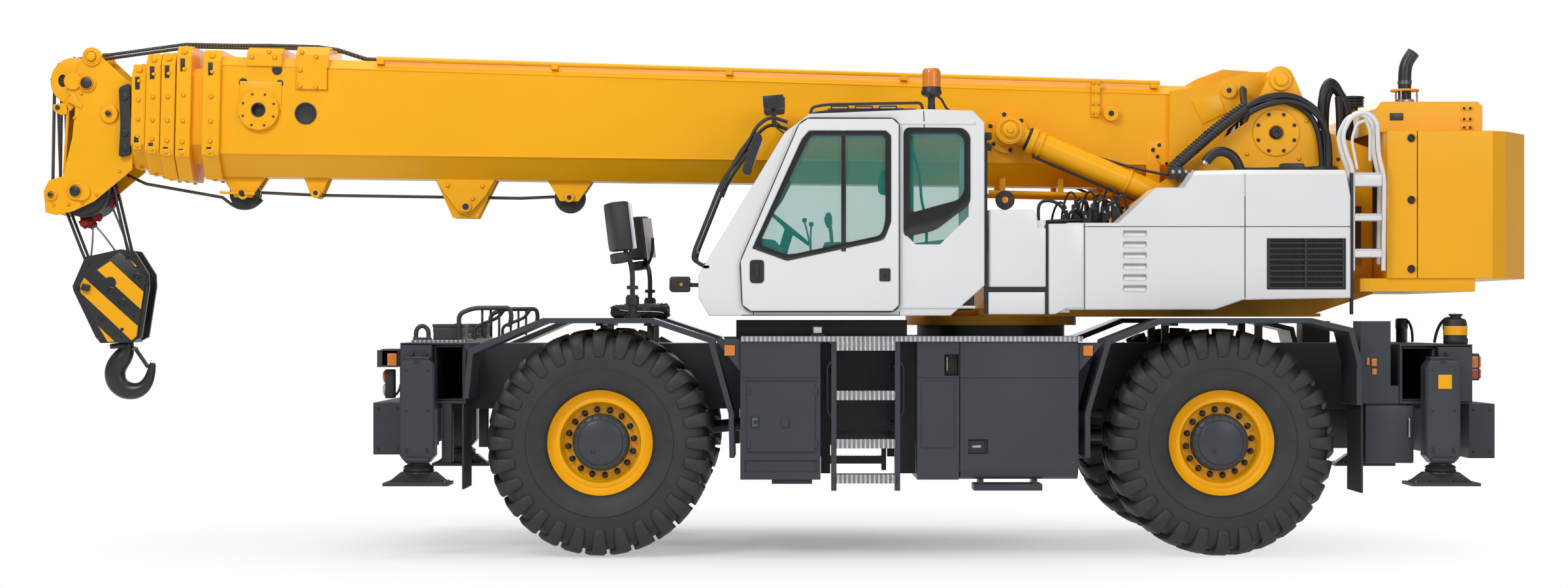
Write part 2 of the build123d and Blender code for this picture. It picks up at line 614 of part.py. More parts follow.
def machinery_housing():
    """White housings on both sides of the turntable."""
    y0, y1 = HOUSING_Y
    main = side_plate(
        ((2401, 2024), (3609, 2024), (3840, 2104), (4726, 2121), (4726, 2958), (4688, 3176), (3840, 3176),
         (3453, 3168),
         (3362, 3028), (3131, 3028), (2819, 2738), (2401, 2738)), y0, y1)
    main = chamfer(main.edges().filter_by(Axis.X).group_by(Axis.Z)[-1].group_by(Axis.Y)[-1], 40)
    # seams between the panels
    for x in (2541, 3860):
        main -= box((x - 4, x + 4), (y1 - 8, y1 + 1), (2000, 3300))
    main -= box((2401, 4730), (y1 - 6, y1 + 1), (2703, 2710))
    # louvres
    for n in range(6):
        z = 2180 + n * 90
        main -= box((2860, 3050), (y1 - 26, y1 + 1), (z, z + 42))
    # recess for the radiator grille
    main -= box((4040, 4690), (y1 - 40, y1 + 1), (2190, 2610))
    small = box((1756, 2223), (y0 + 120, y1 - 20), (2212, 2845)) - box((2110, 2224), (y0, y1), (2760, 2850))
    small += box((1756, 2420), (y0, y1 - 25), (2000, 2174)) + box((1800, 2400), (y0, y0 + 200),
            (2170, 2400))
    return both(group(main + small))


def housing_grille():
    """Black bar grilles in the housings' recesses."""
    y1 = HOUSING_Y[1]
    bars = box((4040.3, 4689.7), (y1 - 39.7, y1 - 30), (2190.3, 2609.7))
    for n in range(9):
        z = 2196 + n * 46
        bars += box((4046, 4684), (y1 - 31, y1 - 6), (z, z + 16))
    for x in (4046, 4350, 4660):
        bars += box((x, x + 20), (y1 - 31, y1 - 4), (2196, 2604))
    return both(bars)


def counterweight():
    """The tail: a U-shaped weight with cut corners around the engine bay."""
    w = CW_HALF_W
    x0, x1 = CW_X
    plan = ((x0, -w), (x1, -w), (6050, -w + 90), (TAIL_X, -760), (TAIL_X, 760), (6050, w - 90), (x1, w),
            (x0, w))
    weight = plan_plate(plan, *CW_Z)
    weight -= box((x0 - 1, 5840), (-880, 880), (CW_Z[0] + 200, CW_Z[1] + 1))
    weight -= box((5296, 5304), (-w - 1, -w + 10), CW_Z) + box((5296, 5304), (w - 10, w + 1), CW_Z)
    for z in (2360, 2930, 3440):
        weight -= disc_y(5250, z, 34, -w - 1, -w + 60) + disc_y(5250, z, 34, w - 60, w + 1)
    weight += box((4830, 5780), (-w + 20, w - 20), (2174, CW_Z[0] + 0.0)) - box((4820, 5040.3),
            (-760, 760), (2100, 2300))
    return weight


def engine_hood():
    """The hood over the engine, behind the boom foot."""
    hood = side_plate(((4995, 3502.3), (5880, 3502.3), (5880, 3720), (5840, 3756), (5040, 3756),
                       (4995, 3700)), -1080, 1080)
    hood -= box((5060, 5820), (-1020, 1020), (3500, 3700))
    for n in range(8):
        hood -= box((5120 + n * 86, 5160 + n * 86), (-820, 820), (3690, 3760))
    return hood


def engine_block():
    """The engine, as one plain block in its bay."""
    return box((5120, 5780), (-800, 800), (CW_Z[0] + 200.3, 3440))


def exhaust():
    """Exhaust stack with a bent mouth, and the intake's cap."""
    stack = pipe(((5310, -720, 3756.3), (5310, -720, 4060), (5400, -720, 4160)), 52)
    stack += post(5310, -720, 84, 3756.3, 3790)
    cap = post(5140, 560, 60, 3756.3, 3840) + post(5140, 560, 108, 3840, 3930)
    return group(stack, cap)


def rear_ladder():
    """The ladder up to the engine deck, with hooped rails."""
    y0, y1 = 1120, 1330
    steps = None
    for x in (4745, 5030):
        rail = pipe(((x, y1, 2400), (x, y1, 3640), (x + 20 - 4 * (x > 5000), y1 - 120, 3700),
                     (x, y0, 3500)), 17)
        steps = rail if steps is None else steps + rail
    for z in (2480, 2780, 3080):
        steps += box((4745, 5030), (y1 - 130, y1), (z, z + 40))
    steps += box((4726.3, 4760), (y1 - 60, y1), (2480, 2560))
    return both(steps)


def drum(x, z):
    """A winch drum with flanges, a wound layer and its shaft ends."""
    body = disc_y(x, z, DRUM_R, -600, 600)
    body += disc_y(x, z, DRUM_FLANGE_R, -640, -600) + disc_y(x, z, DRUM_FLANGE_R, 600, 640)
    body += disc_y(x, z, 205, -560, 560)
    body += disc_y(x, z, DRUM_SHAFT_R, -752, 752)
    return body


def cab_trim():
    """Roof rail, beacon, work lamps and the windscreen guard."""
    y0, y1 = -CAB_Y[1], -CAB_Y[0]
    beacon = post(1270, y0 + 150, 70, 3669, 3725) + post(1270, y0 + 150, 62, 3725, 3960)
    beacon += box((1180, 1360), (y0 + 60, y0 + 240), (3640, 3672)) - side_plate(cab_outline(), y0, y1)
    lamp = box((-100, 90), (y0 + 60, y0 + 190), (3700, 3800)) + box((60, 240), (y0 + 100, y0 + 150),
            (3600, 3730))
    lamp -= side_plate(cab_outline(0.3), y0, y1)
    guard = pipe(((-230, y0 + 30, 3400), (-690, y0 + 30, 2520), (-640, y0 + 30, 2360)), 16)
    guard += pipe(((-230, y1 - 30, 3400), (-690, y1 - 30, 2520), (-640, y1 - 30, 2360)), 16)
    for x, z in ((-230, 3400), (-690, 2520)):
        guard += rod((x, y0 + 30, z), (x, y1 - 30, z), 14)
    guard += rod((-230, y0 + 30, 3400), (40, y0 + 30, 3430), 14) + rod((-230, y1 - 30, 3400),
            (40, y1 - 30, 3430), 14)
    guard -= side_plate(cab_outline(0.3), y0, y1)
    nose = box((-870, -690), (y0 + 40, y0 + 150), (2160, 2290)) + box((-700, -632.3), (y0 + 70, y0 + 110),
            (2200, 2240))
    return group(beacon, lamp, guard, nose)


# ---- boom ------------------------------------------------------------------------------------------------------
def boom_section(height, half_w, upper, lower, x):
    """The boom's cross outline at a station: an upright octagon."""
    h = height / 2
    points = (
        (-half_w + upper, BOOM_Z + h), (half_w - upper, BOOM_Z + h), (half_w, BOOM_Z + h - upper),
        (half_w, BOOM_Z - h + lower),
        (half_w - lower, BOOM_Z - h), (-half_w + lower, BOOM_Z - h), (-half_w, BOOM_Z - h + lower),
        (-half_w, BOOM_Z + h - upper),
    )
    return Plane.YZ.offset(x) * Polygon(*points, align=None)


def collar(name, mouth, inside):
    """The ring plate at a section's mouth, around the next section where there is one."""
    x0, rise, fall, half_w = next(c[1:] for c in COLLARS if c[0] == name)
    x1 = mouth + COLLAR_LAP
    ring = section_plate(
        ((-half_w + 60, BOOM_Z + rise), (half_w - 60, BOOM_Z + rise), (half_w, BOOM_Z + rise - 90),
         (half_w, BOOM_Z - fall + 200),
         (half_w - 190, BOOM_Z - fall), (-half_w + 190, BOOM_Z - fall), (-half_w, BOOM_Z - fall + 200),
         (-half_w, BOOM_Z + rise - 90)),
        x0, x1,
    )
    if inside is None:
        return ring
    _, height, half_w, _, _ = inside
    return ring - hollow(height + 2 * SLIDE_FIT, half_w + SLIDE_FIT, x0 - 1, x1 + 1)


def hollow(height, half_w, x0, x1):
    """A straight boom-shaped prism, as a cutter or a section."""
    lower = 170 * half_w / BOOM_HALF_W
    return extrude(boom_section(height, half_w, 60, lower, x0), amount=x1 - x0, dir=(1, 0, 0))


def boom_base():
    """The base section: a tapered octagonal box with its collar, foot, bosses and brackets."""
    front, rear = BASE_FRONT, BASE_REAR
    outer = loft(
        [boom_section(BASE_H[0], BOOM_HALF_W, *BASE_CHAMFER, front),
         boom_section(BASE_H[1], BOOM_HALF_W, *BASE_CHAMFER, rear)],
        ruled=True,
    )
    w = BASE_WALL
    inner = loft(
        [
            boom_section(BASE_H[0] - 2 * w, BOOM_HALF_W - w, BASE_CHAMFER[0] - 6, BASE_CHAMFER[1] - 8,
                         front - 1),
            boom_section(BASE_H[1] - 2 * w, BOOM_HALF_W - w, BASE_CHAMFER[0] - 6, BASE_CHAMFER[1] - 8,
                         rear - 500),
        ],
        ruled=True,
    )
    body = outer - inner
    body += collar("boom_base", front, SECTIONS[0])
    # the foot: two cheeks that rise to the pin
    cheek = side_plate(
        ((rear - 420, BOOM_Z - 300), (rear - 60, BOOM_Z - 300), (3880, 3560), (4200, 3868),
         (PIVOT_X + 90, PIVOT_Z - 60),
         (PIVOT_X + 60, PIVOT_Z + 90), (4040, 4060), (rear - 150, BOOM_Z + 435),
         (rear - 420, BOOM_Z + 380)), 330, 420)
    cheek += disc_y(PIVOT_X, PIVOT_Z, 110, 330, 420)
    body += cheek + flip(cheek)
    body += disc_y(PIVOT_X, PIVOT_Z, 80, -420, 420) + disc_y(PIVOT_X, PIVOT_Z, PIVOT_R, -752, 752)
    body += boom_brackets()
    bore = disc_y(-4430, BOOM_Z + 53, 56, BOOM_HALF_W - 40, BOOM_HALF_W + 60)
    window = disc_y(-4030, BOOM_Z + 34, 84, BOOM_HALF_W - 40, BOOM_HALF_W + 60)
    return body - bore - flip(bore) - window - flip(window)


def lift_boss():
    """Round bosses on the boom's sides that face the lift rods' eyes."""
    boss = disc_y(EYE_X, EYE_Z, 178, 340, 400) + disc_y(EYE_X, EYE_Z, 128, 340, 452)
    return boss + flip(boss)


def base_top(x):
    """Height of the base section's top above the boom's middle line at a station."""
    share = (x - BASE_FRONT) / (BASE_REAR - BASE_FRONT)
    return (BASE_H[0] + share * (BASE_H[1] - BASE_H[0])) / 2


def boom_brackets():
    """What is welded to the base section: flanges, saddles, the rope guard, hangers and the hose rail."""
    z, w = BOOM_Z, BOOM_HALF_W
    flange = disc_y(-4430, z + 53, 174, w - 5, w + 46)
    gear = flange + flip(flange)
    for x, half, rise, drop in ((-4390, 150, 82, 20), (-3980, 140, 104, 20)):
        top = base_top(x)
        gear += section_plate(
            ((-w - 24, z + top - drop - 60), (w + 24, z + top - drop - 60), (w + 24, z + top + 30),
             (w - 60, z + top + rise),
             (60 - w, z + top + rise), (-w - 24, z + top + 30)), x - half, x + half,
        )
    side = box((-4110, -3850), (w - 5, w + 24), (z + 240, z + 480))
    strap = box((2710, 2785), (w - 5, w + 30), (z + 150, z + 470))
    boss = disc_y(2880, z + 180, 66, w - 5, w + 60) + disc_y(3880, z + 395, 66, w - 5, 440)
    gear += side + flip(side) + strap + flip(strap) + boss + flip(boss)
    # hangers under the section: station, half length, depth below the underside
    for x, half, depth in ((-4600, 190, 175), (-3970, 110, 150), (-2670, 270, 330), (-1770, 200, 175)):
        low = z - base_top(x)
        for y in (-110, 80):
            gear += side_plate(((x - half, low + 12), (x + half, low + 12), (x + half * 0.4, low - depth),
                                (x - half * 0.4, low - depth)), y, y + 30)
    # hose rail along the upper edge, on saddles
    rail = rod((-3436, -w + 22, z + base_top(-3436) + 16), (3300, -w + 22, z + base_top(3300) + 16), 20)
    for x in (-3400, -1900, -400, 1100, 2740, 3250):
        rail += box((x - 30, x + 30), (-w + 4, -w + 90), (z + base_top(x) - 30, z + base_top(x) + 14))
    gear += rail + flip(rail)
    # rope cover over the foot
    gear += side_plate(((3540, z + 420), (3540, 3950), (3640, 4010), (3860, 4095), (4080, 4085),
                        (4190, 4020), (4040, 3985), (3800, z + 435)), -200, 200)
    return gear


def boom_sheaves():
    """Rope sheaves under the base section, each between its hangers."""
    pieces = []
    for x, r in ((-4600, 134), (-1770, 134)):
        z = BOOM_Z - base_top(x) - r - 8
        wheel = disc_y(x, z, r, -40, 40) - disc_y(x, z, r, -12, 12)
        wheel += disc_y(x, z, r - 22, -30, 30) + disc_y(x, z, 30, -79.7, 79.7)
        pieces.append(wheel)
    return group(*pieces)


def tele_section(index):
    """One inner section with its collar; the last one has no next section inside."""
    name, height, half_w, front, length = SECTIONS[index]
    body = hollow(height, half_w, front, front + length)
    wall = SECTION_WALL
    body -= hollow(height - 2 * wall, half_w - wall, front - 1, front + length + 1)
    inside = SECTIONS[index + 1] if index + 1 < len(SECTIONS) else None
    return body + collar(name, front, inside)


HEAD_Y = 250.0
LOWER_PIN = (-5984.0, 3043.0)
HEAD_PINS = (
    # x, z, sheave radius
    (-6060.0, 4000.0, 190.0),
    (-5746.0, 3713.0, 130.0),
    (-5984.0, 3043.0, 215.0),
)


def boom_head():
    """The head: two cheek plates welded to the last section's mouth, with pins for its sheaves."""
    y = HEAD_Y
    outline = (
        (-5480, 3960), (-5480, 3300), (-5700, 3116), (-5880, 2964), (-6060, 2879), (-6210, 2845),
        (-6300, 2868),
        (-6316, 3054), (-6270, 3144), (-6150, 3180), (-6070, 3510), (-6040, 3809), (-6110, 3900),
        (-5990, 4200),
        (-5900, 4290), (-5810, 4200), (-5600, 4010),
    )
    cheek = side_plate(outline, y - 24, y)
    for x, z, _ in HEAD_PINS:
        cheek += disc_y(x, z, 75, y - 30, y + 26)
    cheek += disc_y(-5898, 4209, 80, y - 40, y + 20)
    body = cheek + flip(cheek)
    body += box((-5590, -5480), (-y, y), (3300, 3930))
    for x, z, _ in HEAD_PINS:
        body += disc_y(x, z, 45, -y, y)
    body += box((-5870, -5500), (-y, y), (3420, 3450)) + box((-5640, -5500), (-y, y), (3850, 3880))
    return body - boom_frame(box((-5535.3, -5200), (-400, 400), (2600, 4600)))


def head_sheaves():
    """Grooved sheaves on the head's three pins."""
    wheels = []
    for x, z, r in HEAD_PINS:
        row = None
        for n in range(4):
            y = -150 + n * 100
            wheel = disc_y(x, z, r, y - 30, y - 10) + disc_y(x, z, r, y + 10, y + 30) + disc_y(x, z, r
                    - 24, y - 46, y + 46)
            row = wheel if row is None else row + wheel
        row += disc_y(x, z, 70, -218, 218)
        wheels.append(row - disc_y(x, z, 45.3, -220, 220))
    return group(*wheels)


def lift_direction():
    """Unit vector from the lift cylinder's base pin to its eye, in X and Z."""
    dx, dz = EYE_X - LIFT_X, EYE_Z - LIFT_Z
    length = hypot(dx, dz)
    return dx / length, dz / length, length


def lift_point(distance, y):
    """A point on the lift cylinder's line, at a distance from its base pin."""
    ux, uz, _ = lift_direction()
    return (LIFT_X + ux * distance, y, LIFT_Z + uz * distance)


def luff_barrels():
    """The two lift cylinders' barrels."""
    _, _, length = lift_direction()
    barrel = rod(lift_point(80, LIFT_Y), lift_point(length - 190, LIFT_Y), BARREL_R)
    barrel += rod(lift_point(length - 240, LIFT_Y), lift_point(length - 186, LIFT_Y), BARREL_R + 14)
    barrel += disc_y(LIFT_X, LIFT_Z, 115, 480, 650)
    barrel -= rod(lift_point(150, LIFT_Y), lift_point(length, LIFT_Y), BORE_R)
    barrel -= disc_y(LIFT_X, LIFT_Z, 60.05, 400, 700)
    return both(barrel)


def luff_rods():
    """The two lift rods with their eyes; each eye's pin cap is part of it."""
    _, _, length = lift_direction()
    bar = rod(lift_point(215, LIFT_Y), lift_point(length - 60, LIFT_Y), ROD_R)
    bar += disc_y(EYE_X, EYE_Z, EYE_R, *EYE_Y) + disc_y(EYE_X, EYE_Z, 60, EYE_Y[1] - 1, EYE_Y[1] + 26)
    return both(bar)


HOOK_X, HOOK_Z = -5645.0, 1477.0
HOOK_R, HOOK_MINOR = 160.0, 52.0
SWIVEL_X, SWIVEL_Z = -5722.0, 1738.0
SHANK_R = 45.0


def swivel_point(t):
    """A point on the hook's swivel axis, which leans as the block does."""
    return (SWIVEL_X - 0.1 * t, 0, SWIVEL_Z + t)


ROPE_R = 13.0


def fall_end(x, z, side):
    """Where a rope fall from (x, z) touches the head's lower sheave, on its front (-1) or rear (1) side."""
    px, pz, radius = HEAD_PINS[2]
    reach = radius + ROPE_R + SEAT_GAP
    dx, dz = x - px, z - pz
    distance = hypot(dx, dz)
    angle = atan2(dz, dx) + side * acos(reach / distance)
    return px + reach * cos(angle), pz + reach * sin(angle)


def hook_block():
    """The hook block with its rope falls, hanging from the head's lower sheaves."""
    y = 150
    outline = (
        (-6087, 2194), (-6093, 2234), (-5985, 2485), (-5677, 2553), (-5558, 2536), (-5432, 2337),
        (-5427, 2229),
        (-5495, 1790), (-5586, 1744), (-5848, 1739), (-5894, 1790),
    )
    cheek = side_plate(outline, y - 34, y)
    block = cheek + flip(cheek)
    block += side_plate(((-5900, 1900), (-5520, 1900), (-5560, 1746), (-5860, 1742)), -y, y)
    pin = disc_y(-5762, 2262, 50, -y - 20, y + 20)
    block += pin + disc_y(-5762, 2262, 70, -y, y)
    for at in (-75, 0, 75):
        block += disc_y(-5762, 2262, 200, at - 24, at + 24)
    # rope falls: each runs from the block to the side of a sheave in the head
    for at in (-75, 75):
        for x, z, side in ((-5951, 2330, -1), (-5582, 2330, 1)):
            x1, z1 = fall_end(x, z, side)
            block += rod((x, at, z), (x1, at, z1), ROPE_R)
    block -= rod(swivel_point(-20), swivel_point(110), SHANK_R + 0.05)
    return block


def hook():
    """The forged hook on its swivelling shank."""
    section = Plane.XY * Pos(HOOK_R, 0, 0) * RegularPolygon(HOOK_MINOR, 10)
    bowl = revolve(section, Axis.Y, 255)
    shape = Pos(HOOK_X, 0, HOOK_Z) * Rot(0, 25, 0) * bowl
    shape += rod((HOOK_X - 30, 0, HOOK_Z + 135), swivel_point(-30), 58, 52) + rod(swivel_point(-45),
            swivel_point(100), SHANK_R)
    return shape


def main():
    """Writes every node."""
    os.makedirs("parts", exist_ok=True)
    for end, x in WHEEL_X.items():
        for side, turn in (("l", flip), ("r", lambda s: s)):
            write(f"tyre_{end}{side}", turn(tyre(x)))
            write(f"rim_{end}{side}", turn(rim(x)))
            write(f"knuckle_{end}{side}", turn(knuckle(x)))
    write("axles", group(*[axle(x) for x in WHEEL_X.values()]))
    write("carrier_frame", carrier_frame())
    for end, x0, x1, z0, z1, jack_x, half in OUTRIGGERS:
        width = (x1 - x0 - 2 * BOX_WALL - 3 * BEAM_GAP) / 2
        a = x0 + BOX_WALL + BEAM_GAP
        b = a + width + BEAM_GAP
        near, far = (a, b) if end == "f" else (b, a)
        write(f"beam_{end}l", outrigger_beam(near, near + width, z0, z1, jack_x))
        write(f"beam_{end}r", flip(outrigger_beam(far, far + width, z0, z1, jack_x)))
        write(f"jack_{end}l", jack(jack_x, half))
        write(f"jack_{end}r", flip(jack(jack_x, half)))
    for maker in (fenders, side_lockers, deck_plates, ladders, slew_ring, mirror_stands, carrier_lamps,
                  deck_fittings,
                  mud_flaps, turntable, cab_shell, cab_glass, cab_interior, cab_door, door_glass,
                  machinery_housing,
                  housing_grille, counterweight, engine_hood, engine_block, exhaust, rear_ladder, cab_trim,
                  luff_barrels, luff_rods):
        write(maker.__name__, maker())
    write("drum_main", drum(DRUM_X, DRUM_Z))
    write("drum_aux", drum(AUX_X, AUX_Z))
    write("boom_base", boom_frame(boom_base()) + lift_boss())
    write("boom_sheaves", boom_frame(boom_sheaves()))
    for index, section in enumerate(SECTIONS):
        write(section[0], boom_frame(tele_section(index)))
    write("boom_head", boom_head())
    write("head_sheaves", head_sheaves())
    write("hook_block", hook_block())
    write("hook", hook())


main()
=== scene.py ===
# %% [markdown]
# Dressing a two-axle rough-terrain crane. The engineering solids arrive as a fixed frame, in metres, with
# +X to the rear, -Y to the cab side and +Z up. This lesson gives them paint, rubber, glass and steel, and
# builds the pieces that solids alone can't show well: treaded tyres, hoses, ropes, lamps and glass seals.

# %% Load the frame
import math
import random

import bmesh
import bpy
from mathutils import Matrix, Vector


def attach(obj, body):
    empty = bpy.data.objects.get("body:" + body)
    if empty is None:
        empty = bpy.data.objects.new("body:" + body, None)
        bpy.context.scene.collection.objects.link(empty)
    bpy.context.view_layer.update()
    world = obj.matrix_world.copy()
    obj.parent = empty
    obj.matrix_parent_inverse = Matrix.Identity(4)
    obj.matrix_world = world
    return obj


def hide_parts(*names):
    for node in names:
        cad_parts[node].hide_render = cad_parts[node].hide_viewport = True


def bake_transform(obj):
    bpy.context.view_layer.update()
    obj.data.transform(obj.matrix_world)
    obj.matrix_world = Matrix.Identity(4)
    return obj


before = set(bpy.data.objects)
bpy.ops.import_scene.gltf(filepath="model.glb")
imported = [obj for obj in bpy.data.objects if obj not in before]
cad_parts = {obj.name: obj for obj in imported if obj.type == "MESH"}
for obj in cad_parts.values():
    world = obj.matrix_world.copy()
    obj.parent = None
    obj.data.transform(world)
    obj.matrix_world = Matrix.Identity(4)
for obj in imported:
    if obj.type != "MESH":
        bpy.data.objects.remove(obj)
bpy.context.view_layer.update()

random.seed(7)

# %% [markdown]
# Shader maths reads best as plain sums, so a socket is wrapped in a small class whose operators add the
# Math nodes. Every other node comes from one method that takes its type, its settings and its inputs.

# %% A socket that can be added, multiplied and compared
class Val:
    """A value somewhere in a material's graph."""

    def __init__(self, finish, socket):
        self.finish, self.socket = finish, socket

    def maths(self, operation, *others):
        """A Math node on this value and others."""
        inputs = {n: v for n, v in enumerate((self, *others))}
        return self.finish.node("ShaderNodeMath", {"operation": operation}, inputs)

    def __add__(self, other):
        return self.maths("ADD", other)

    __radd__ = __add__

    def __mul__(self, other):
        return self.maths("MULTIPLY", other)

    __rmul__ = __mul__

    def __sub__(self, other):
        return self.maths("SUBTRACT", other)

    def __rsub__(self, other):
        return (self * -1.0) + other

    def __gt__(self, other):
        return self.maths("GREATER_THAN", other)

    def __lt__(self, other):
        return self.maths("LESS_THAN", other)

    def power(self, other):
        return self.maths("POWER", other)

    def clamped(self):
        return self.maths("MINIMUM", 1.0).maths("MAXIMUM", 0.0)

    def wave(self, times):
        """A sine of this value times a number, from -1 to 1."""
        return (self * times).maths("SINE")


class Finish:
    """One material: a Principled shader and the nodes before it."""

    def __init__(self, name, colour, roughness, metallic=0.0, **fixed):
        self.material = bpy.data.materials.new(name)
        self.material.use_nodes = True
        self.tree = self.material.node_tree
        self.shader = self.tree.nodes["Principled BSDF"]
        self.shader.inputs["Base Color"].default_value = (*colour, 1.0)
        self.shader.inputs["Roughness"].default_value = roughness
        self.shader.inputs["Metallic"].default_value = metallic
        for socket, value in fixed.items():
            self.shader.inputs[socket.replace("_", " ")].default_value = value
        self.place = self.node("ShaderNodeTexCoord", out="Object")

    def node(self, kind, settings=None, inputs=None, out=0):
        """Any node: its settings are set first, then its inputs are given values or links."""
        made = self.tree.nodes.new(kind)
        for key, value in (settings or {}).items():
            if key == "stops":
                ramp = made.color_ramp
                while len(ramp.elements) < len(value):
                    ramp.elements.new(0.5)
                for element, (at, colour) in zip(ramp.elements, value):
                    element.position, element.color = at, (*colour, 1.0)
            else:
                setattr(made, key, value)
        for key, value in (inputs or {}).items():
            socket = made.inputs[key]
            if isinstance(value, Val):
                self.tree.links.new(value.socket, socket)
            else:
                socket.default_value = value
        return Val(self, made.outputs[out])

    def noise(self, scale, detail=3.0, roughness=0.55, place=None):
        inputs = {"Vector": place or self.place, "Scale": scale, "Detail": detail, "Roughness": roughness}
        return self.node("ShaderNodeTexNoise", inputs=inputs)

    def axis(self, name):
        """One coordinate of the object's own space, in metres."""
        return self.node("ShaderNodeSeparateXYZ", inputs={"Vector": self.place}, out=name)

    def band(self, value, low, high):
        """0 below low, 1 above high, a straight ramp between."""
        settings = {"clamp": True}
        inputs = {"Value": value, "From Min": low, "From Max": high, "To Min": 0.0, "To Max": 1.0}
        return self.node("ShaderNodeMapRange", settings, inputs)

    def mix(self, share, first, second):
        """A mix of two colours; a colour is three numbers or a value."""
        a, b = ((*c, 1.0) if isinstance(c, tuple) else c for c in (first, second))
        settings = {"data_type": "RGBA"}
        made = self.node("ShaderNodeMix", settings, {"Factor": share}, out=2)
        mixer = made.socket.node
        for slot, value in ((6, a), (7, b)):
            if isinstance(value, Val):
                self.tree.links.new(value.socket, mixer.inputs[slot])
            else:
                mixer.inputs[slot].default_value = value
        return made

    def feed(self, **links):
        """Links values to the shader's varying sockets."""
        for socket, value in links.items():
            self.tree.links.new(value.socket, self.shader.inputs[socket.replace("_", " ")])

    def bump(self, height, distance, strength=1.0, edge=0.0):
        """Height becomes relief; edge is the radius that sharp corners are shaded with."""
        inputs = {"Height": height, "Distance": distance, "Strength": strength}
        if edge:
            inputs["Normal"] = self.node("ShaderNodeBevel", {"samples": 4}, {"Radius": edge})
        self.feed(Normal=self.node("ShaderNodeBump", inputs=inputs))


print("shader helpers ready")

# %% [markdown]
# Sprayed machine paint isn't one flat colour: light orange peel bends its reflections, dust settles in
# its roughness, and large plates wander a little in tone. One recipe with a few numbers gives all paints.

# %% Paint
def paint(name, colour, roughness, peel=0.00025, tone=0.05, coat=0.0, dust=0.0, edge=0.0, shine=0.5):
    """Sprayed paint with orange peel, slow changes of tone and a little dust on upper faces."""
    f = Finish(name, colour, roughness, Coat_Weight=coat, Coat_Roughness=0.12, Specular_IOR_Level=shine)
    slow, fine = f.noise(0.9, 2.0), f.noise(140.0, 2.0)
    worn = f.band(f.noise(7.0, 6.0, 0.7), 0.45, 0.75)
    darker = tuple(c * (1.0 - tone * 2.2) for c in colour)
    base = f.mix(f.band(slow, 0.3, 0.7), darker, colour)
    if dust:
        up = f.node("ShaderNodeSeparateXYZ", inputs={"Vector": f.node("ShaderNodeNewGeometry",
                out="Normal")}, out="Z")
        settled = f.band(up, 0.6, 0.98) * dust * (0.4 + worn * 0.6)
        base = f.mix(settled, base, (0.33, 0.31, 0.28))
    f.feed(Base_Color=base, Roughness=roughness + worn * 0.07 + slow * 0.04 - 0.03)
    f.bump(fine, peel, 0.35, edge)
    return f.material


YELLOW = (0.95, 0.435, 0.002)
GREY = (0.040, 0.046, 0.054)
yellow = paint("yellow enamel", YELLOW, 0.36, tone=0.03, coat=0.12, edge=0.010, shine=0.28)
white = paint("white enamel", (0.78, 0.78, 0.78), 0.32, tone=0.02, coat=0.35, edge=0.022)
grey = paint("slate grey enamel", GREY, 0.42, tone=0.10, coat=0.08, dust=0.14, edge=0.008, shine=0.4)
black = paint("black satin enamel", (0.016, 0.016, 0.018), 0.38, tone=0.15, coat=0.1, edge=0.006)
print("paints", yellow.name, white.name, grey.name, black.name)

# %% [markdown]
# Bare and plated metals: forged steel with a dark skin, zinc-plated fasteners, polished rods, and the
# raised pattern of chequer plate, which is a bump from two crossed waves.

# %% Metals
def forged(name, colour, roughness, metallic=0.9):
    f = Finish(name, colour, roughness, metallic)
    grain, patches = f.noise(60.0, 5.0), f.noise(5.0, 4.0)
    f.feed(
        Base_Color=f.mix(f.band(patches, 0.35, 0.7), tuple(c * 0.6 for c in colour), colour),
        Roughness=roughness + grain * 0.2 - 0.1,
    )
    f.bump(grain, 0.0006, 0.5)
    return f.material


def chequer():
    f = Finish("chequer plate", (0.55, 0.56, 0.57), 0.33, 0.9)
    x, y = f.axis("X"), f.axis("Y")
    across, along = (x + y).wave(85.0), (x - y).wave(85.0)
    bars = f.band(across * across * 1.6 - along * along, 0.35, 0.8)
    worn = f.noise(12.0, 5.0)
    f.feed(
        Base_Color=f.mix(bars, f.mix(worn, (0.16, 0.16, 0.17), (0.36, 0.36, 0.37)), (0.66, 0.67, 0.68)),
        Roughness=0.46 - bars * 0.16 + worn * 0.1,
    )
    f.bump(bars, 0.002, 0.8)
    return f.material


steel = forged("dark forged steel", (0.20, 0.20, 0.21), 0.38)
zinc = forged("zinc plate", (0.62, 0.61, 0.58), 0.3)
chrome = forged("hard chrome", (0.75, 0.75, 0.76), 0.1, 1.0)
cast = forged("oily cast iron", (0.05, 0.05, 0.055), 0.45, 0.55)
chequer_plate = chequer()
print("metals ready")

# %% [markdown]
# Rubber and plastics are dark, but never black: patches of dust, laid out by noise, make them a little greyer
# in places, over a fine grain.

# %% Rubber and plastic
def rubber(name, colour, roughness, dusty, grain=300.0):
    f = Finish(name, colour, roughness)
    dust = f.band(f.noise(4.0, 6.0, 0.7), 0.4, 0.75)
    fine = f.noise(grain, 2.0)
    f.feed(
        Base_Color=f.mix(dust * dusty + fine * 0.1, colour, tuple(c * 1.3 + 0.024 for c in colour)),
        Roughness=roughness + dust * 0.12 - 0.04,
    )
    f.bump(fine, 0.0004, 0.4)
    return f.material


tread_rubber = rubber("tyre rubber", (0.018, 0.018, 0.020), 0.60, 0.55)
flap_rubber = rubber("flap rubber", (0.012, 0.012, 0.013), 0.55, 0.3)
hose_rubber = rubber("hose rubber", (0.010, 0.010, 0.011), 0.45, 0.2)
plastic = rubber("grained black plastic", (0.014, 0.014, 0.015), 0.42, 0.25, 700.0)
print("rubbers ready")

# %% [markdown]
# Safety glass has a faint green tint. It is a smooth surface with part transmission, so that the seat and
# the boom behind it still show, and its edges are closed by a black printed band and a rubber seal.

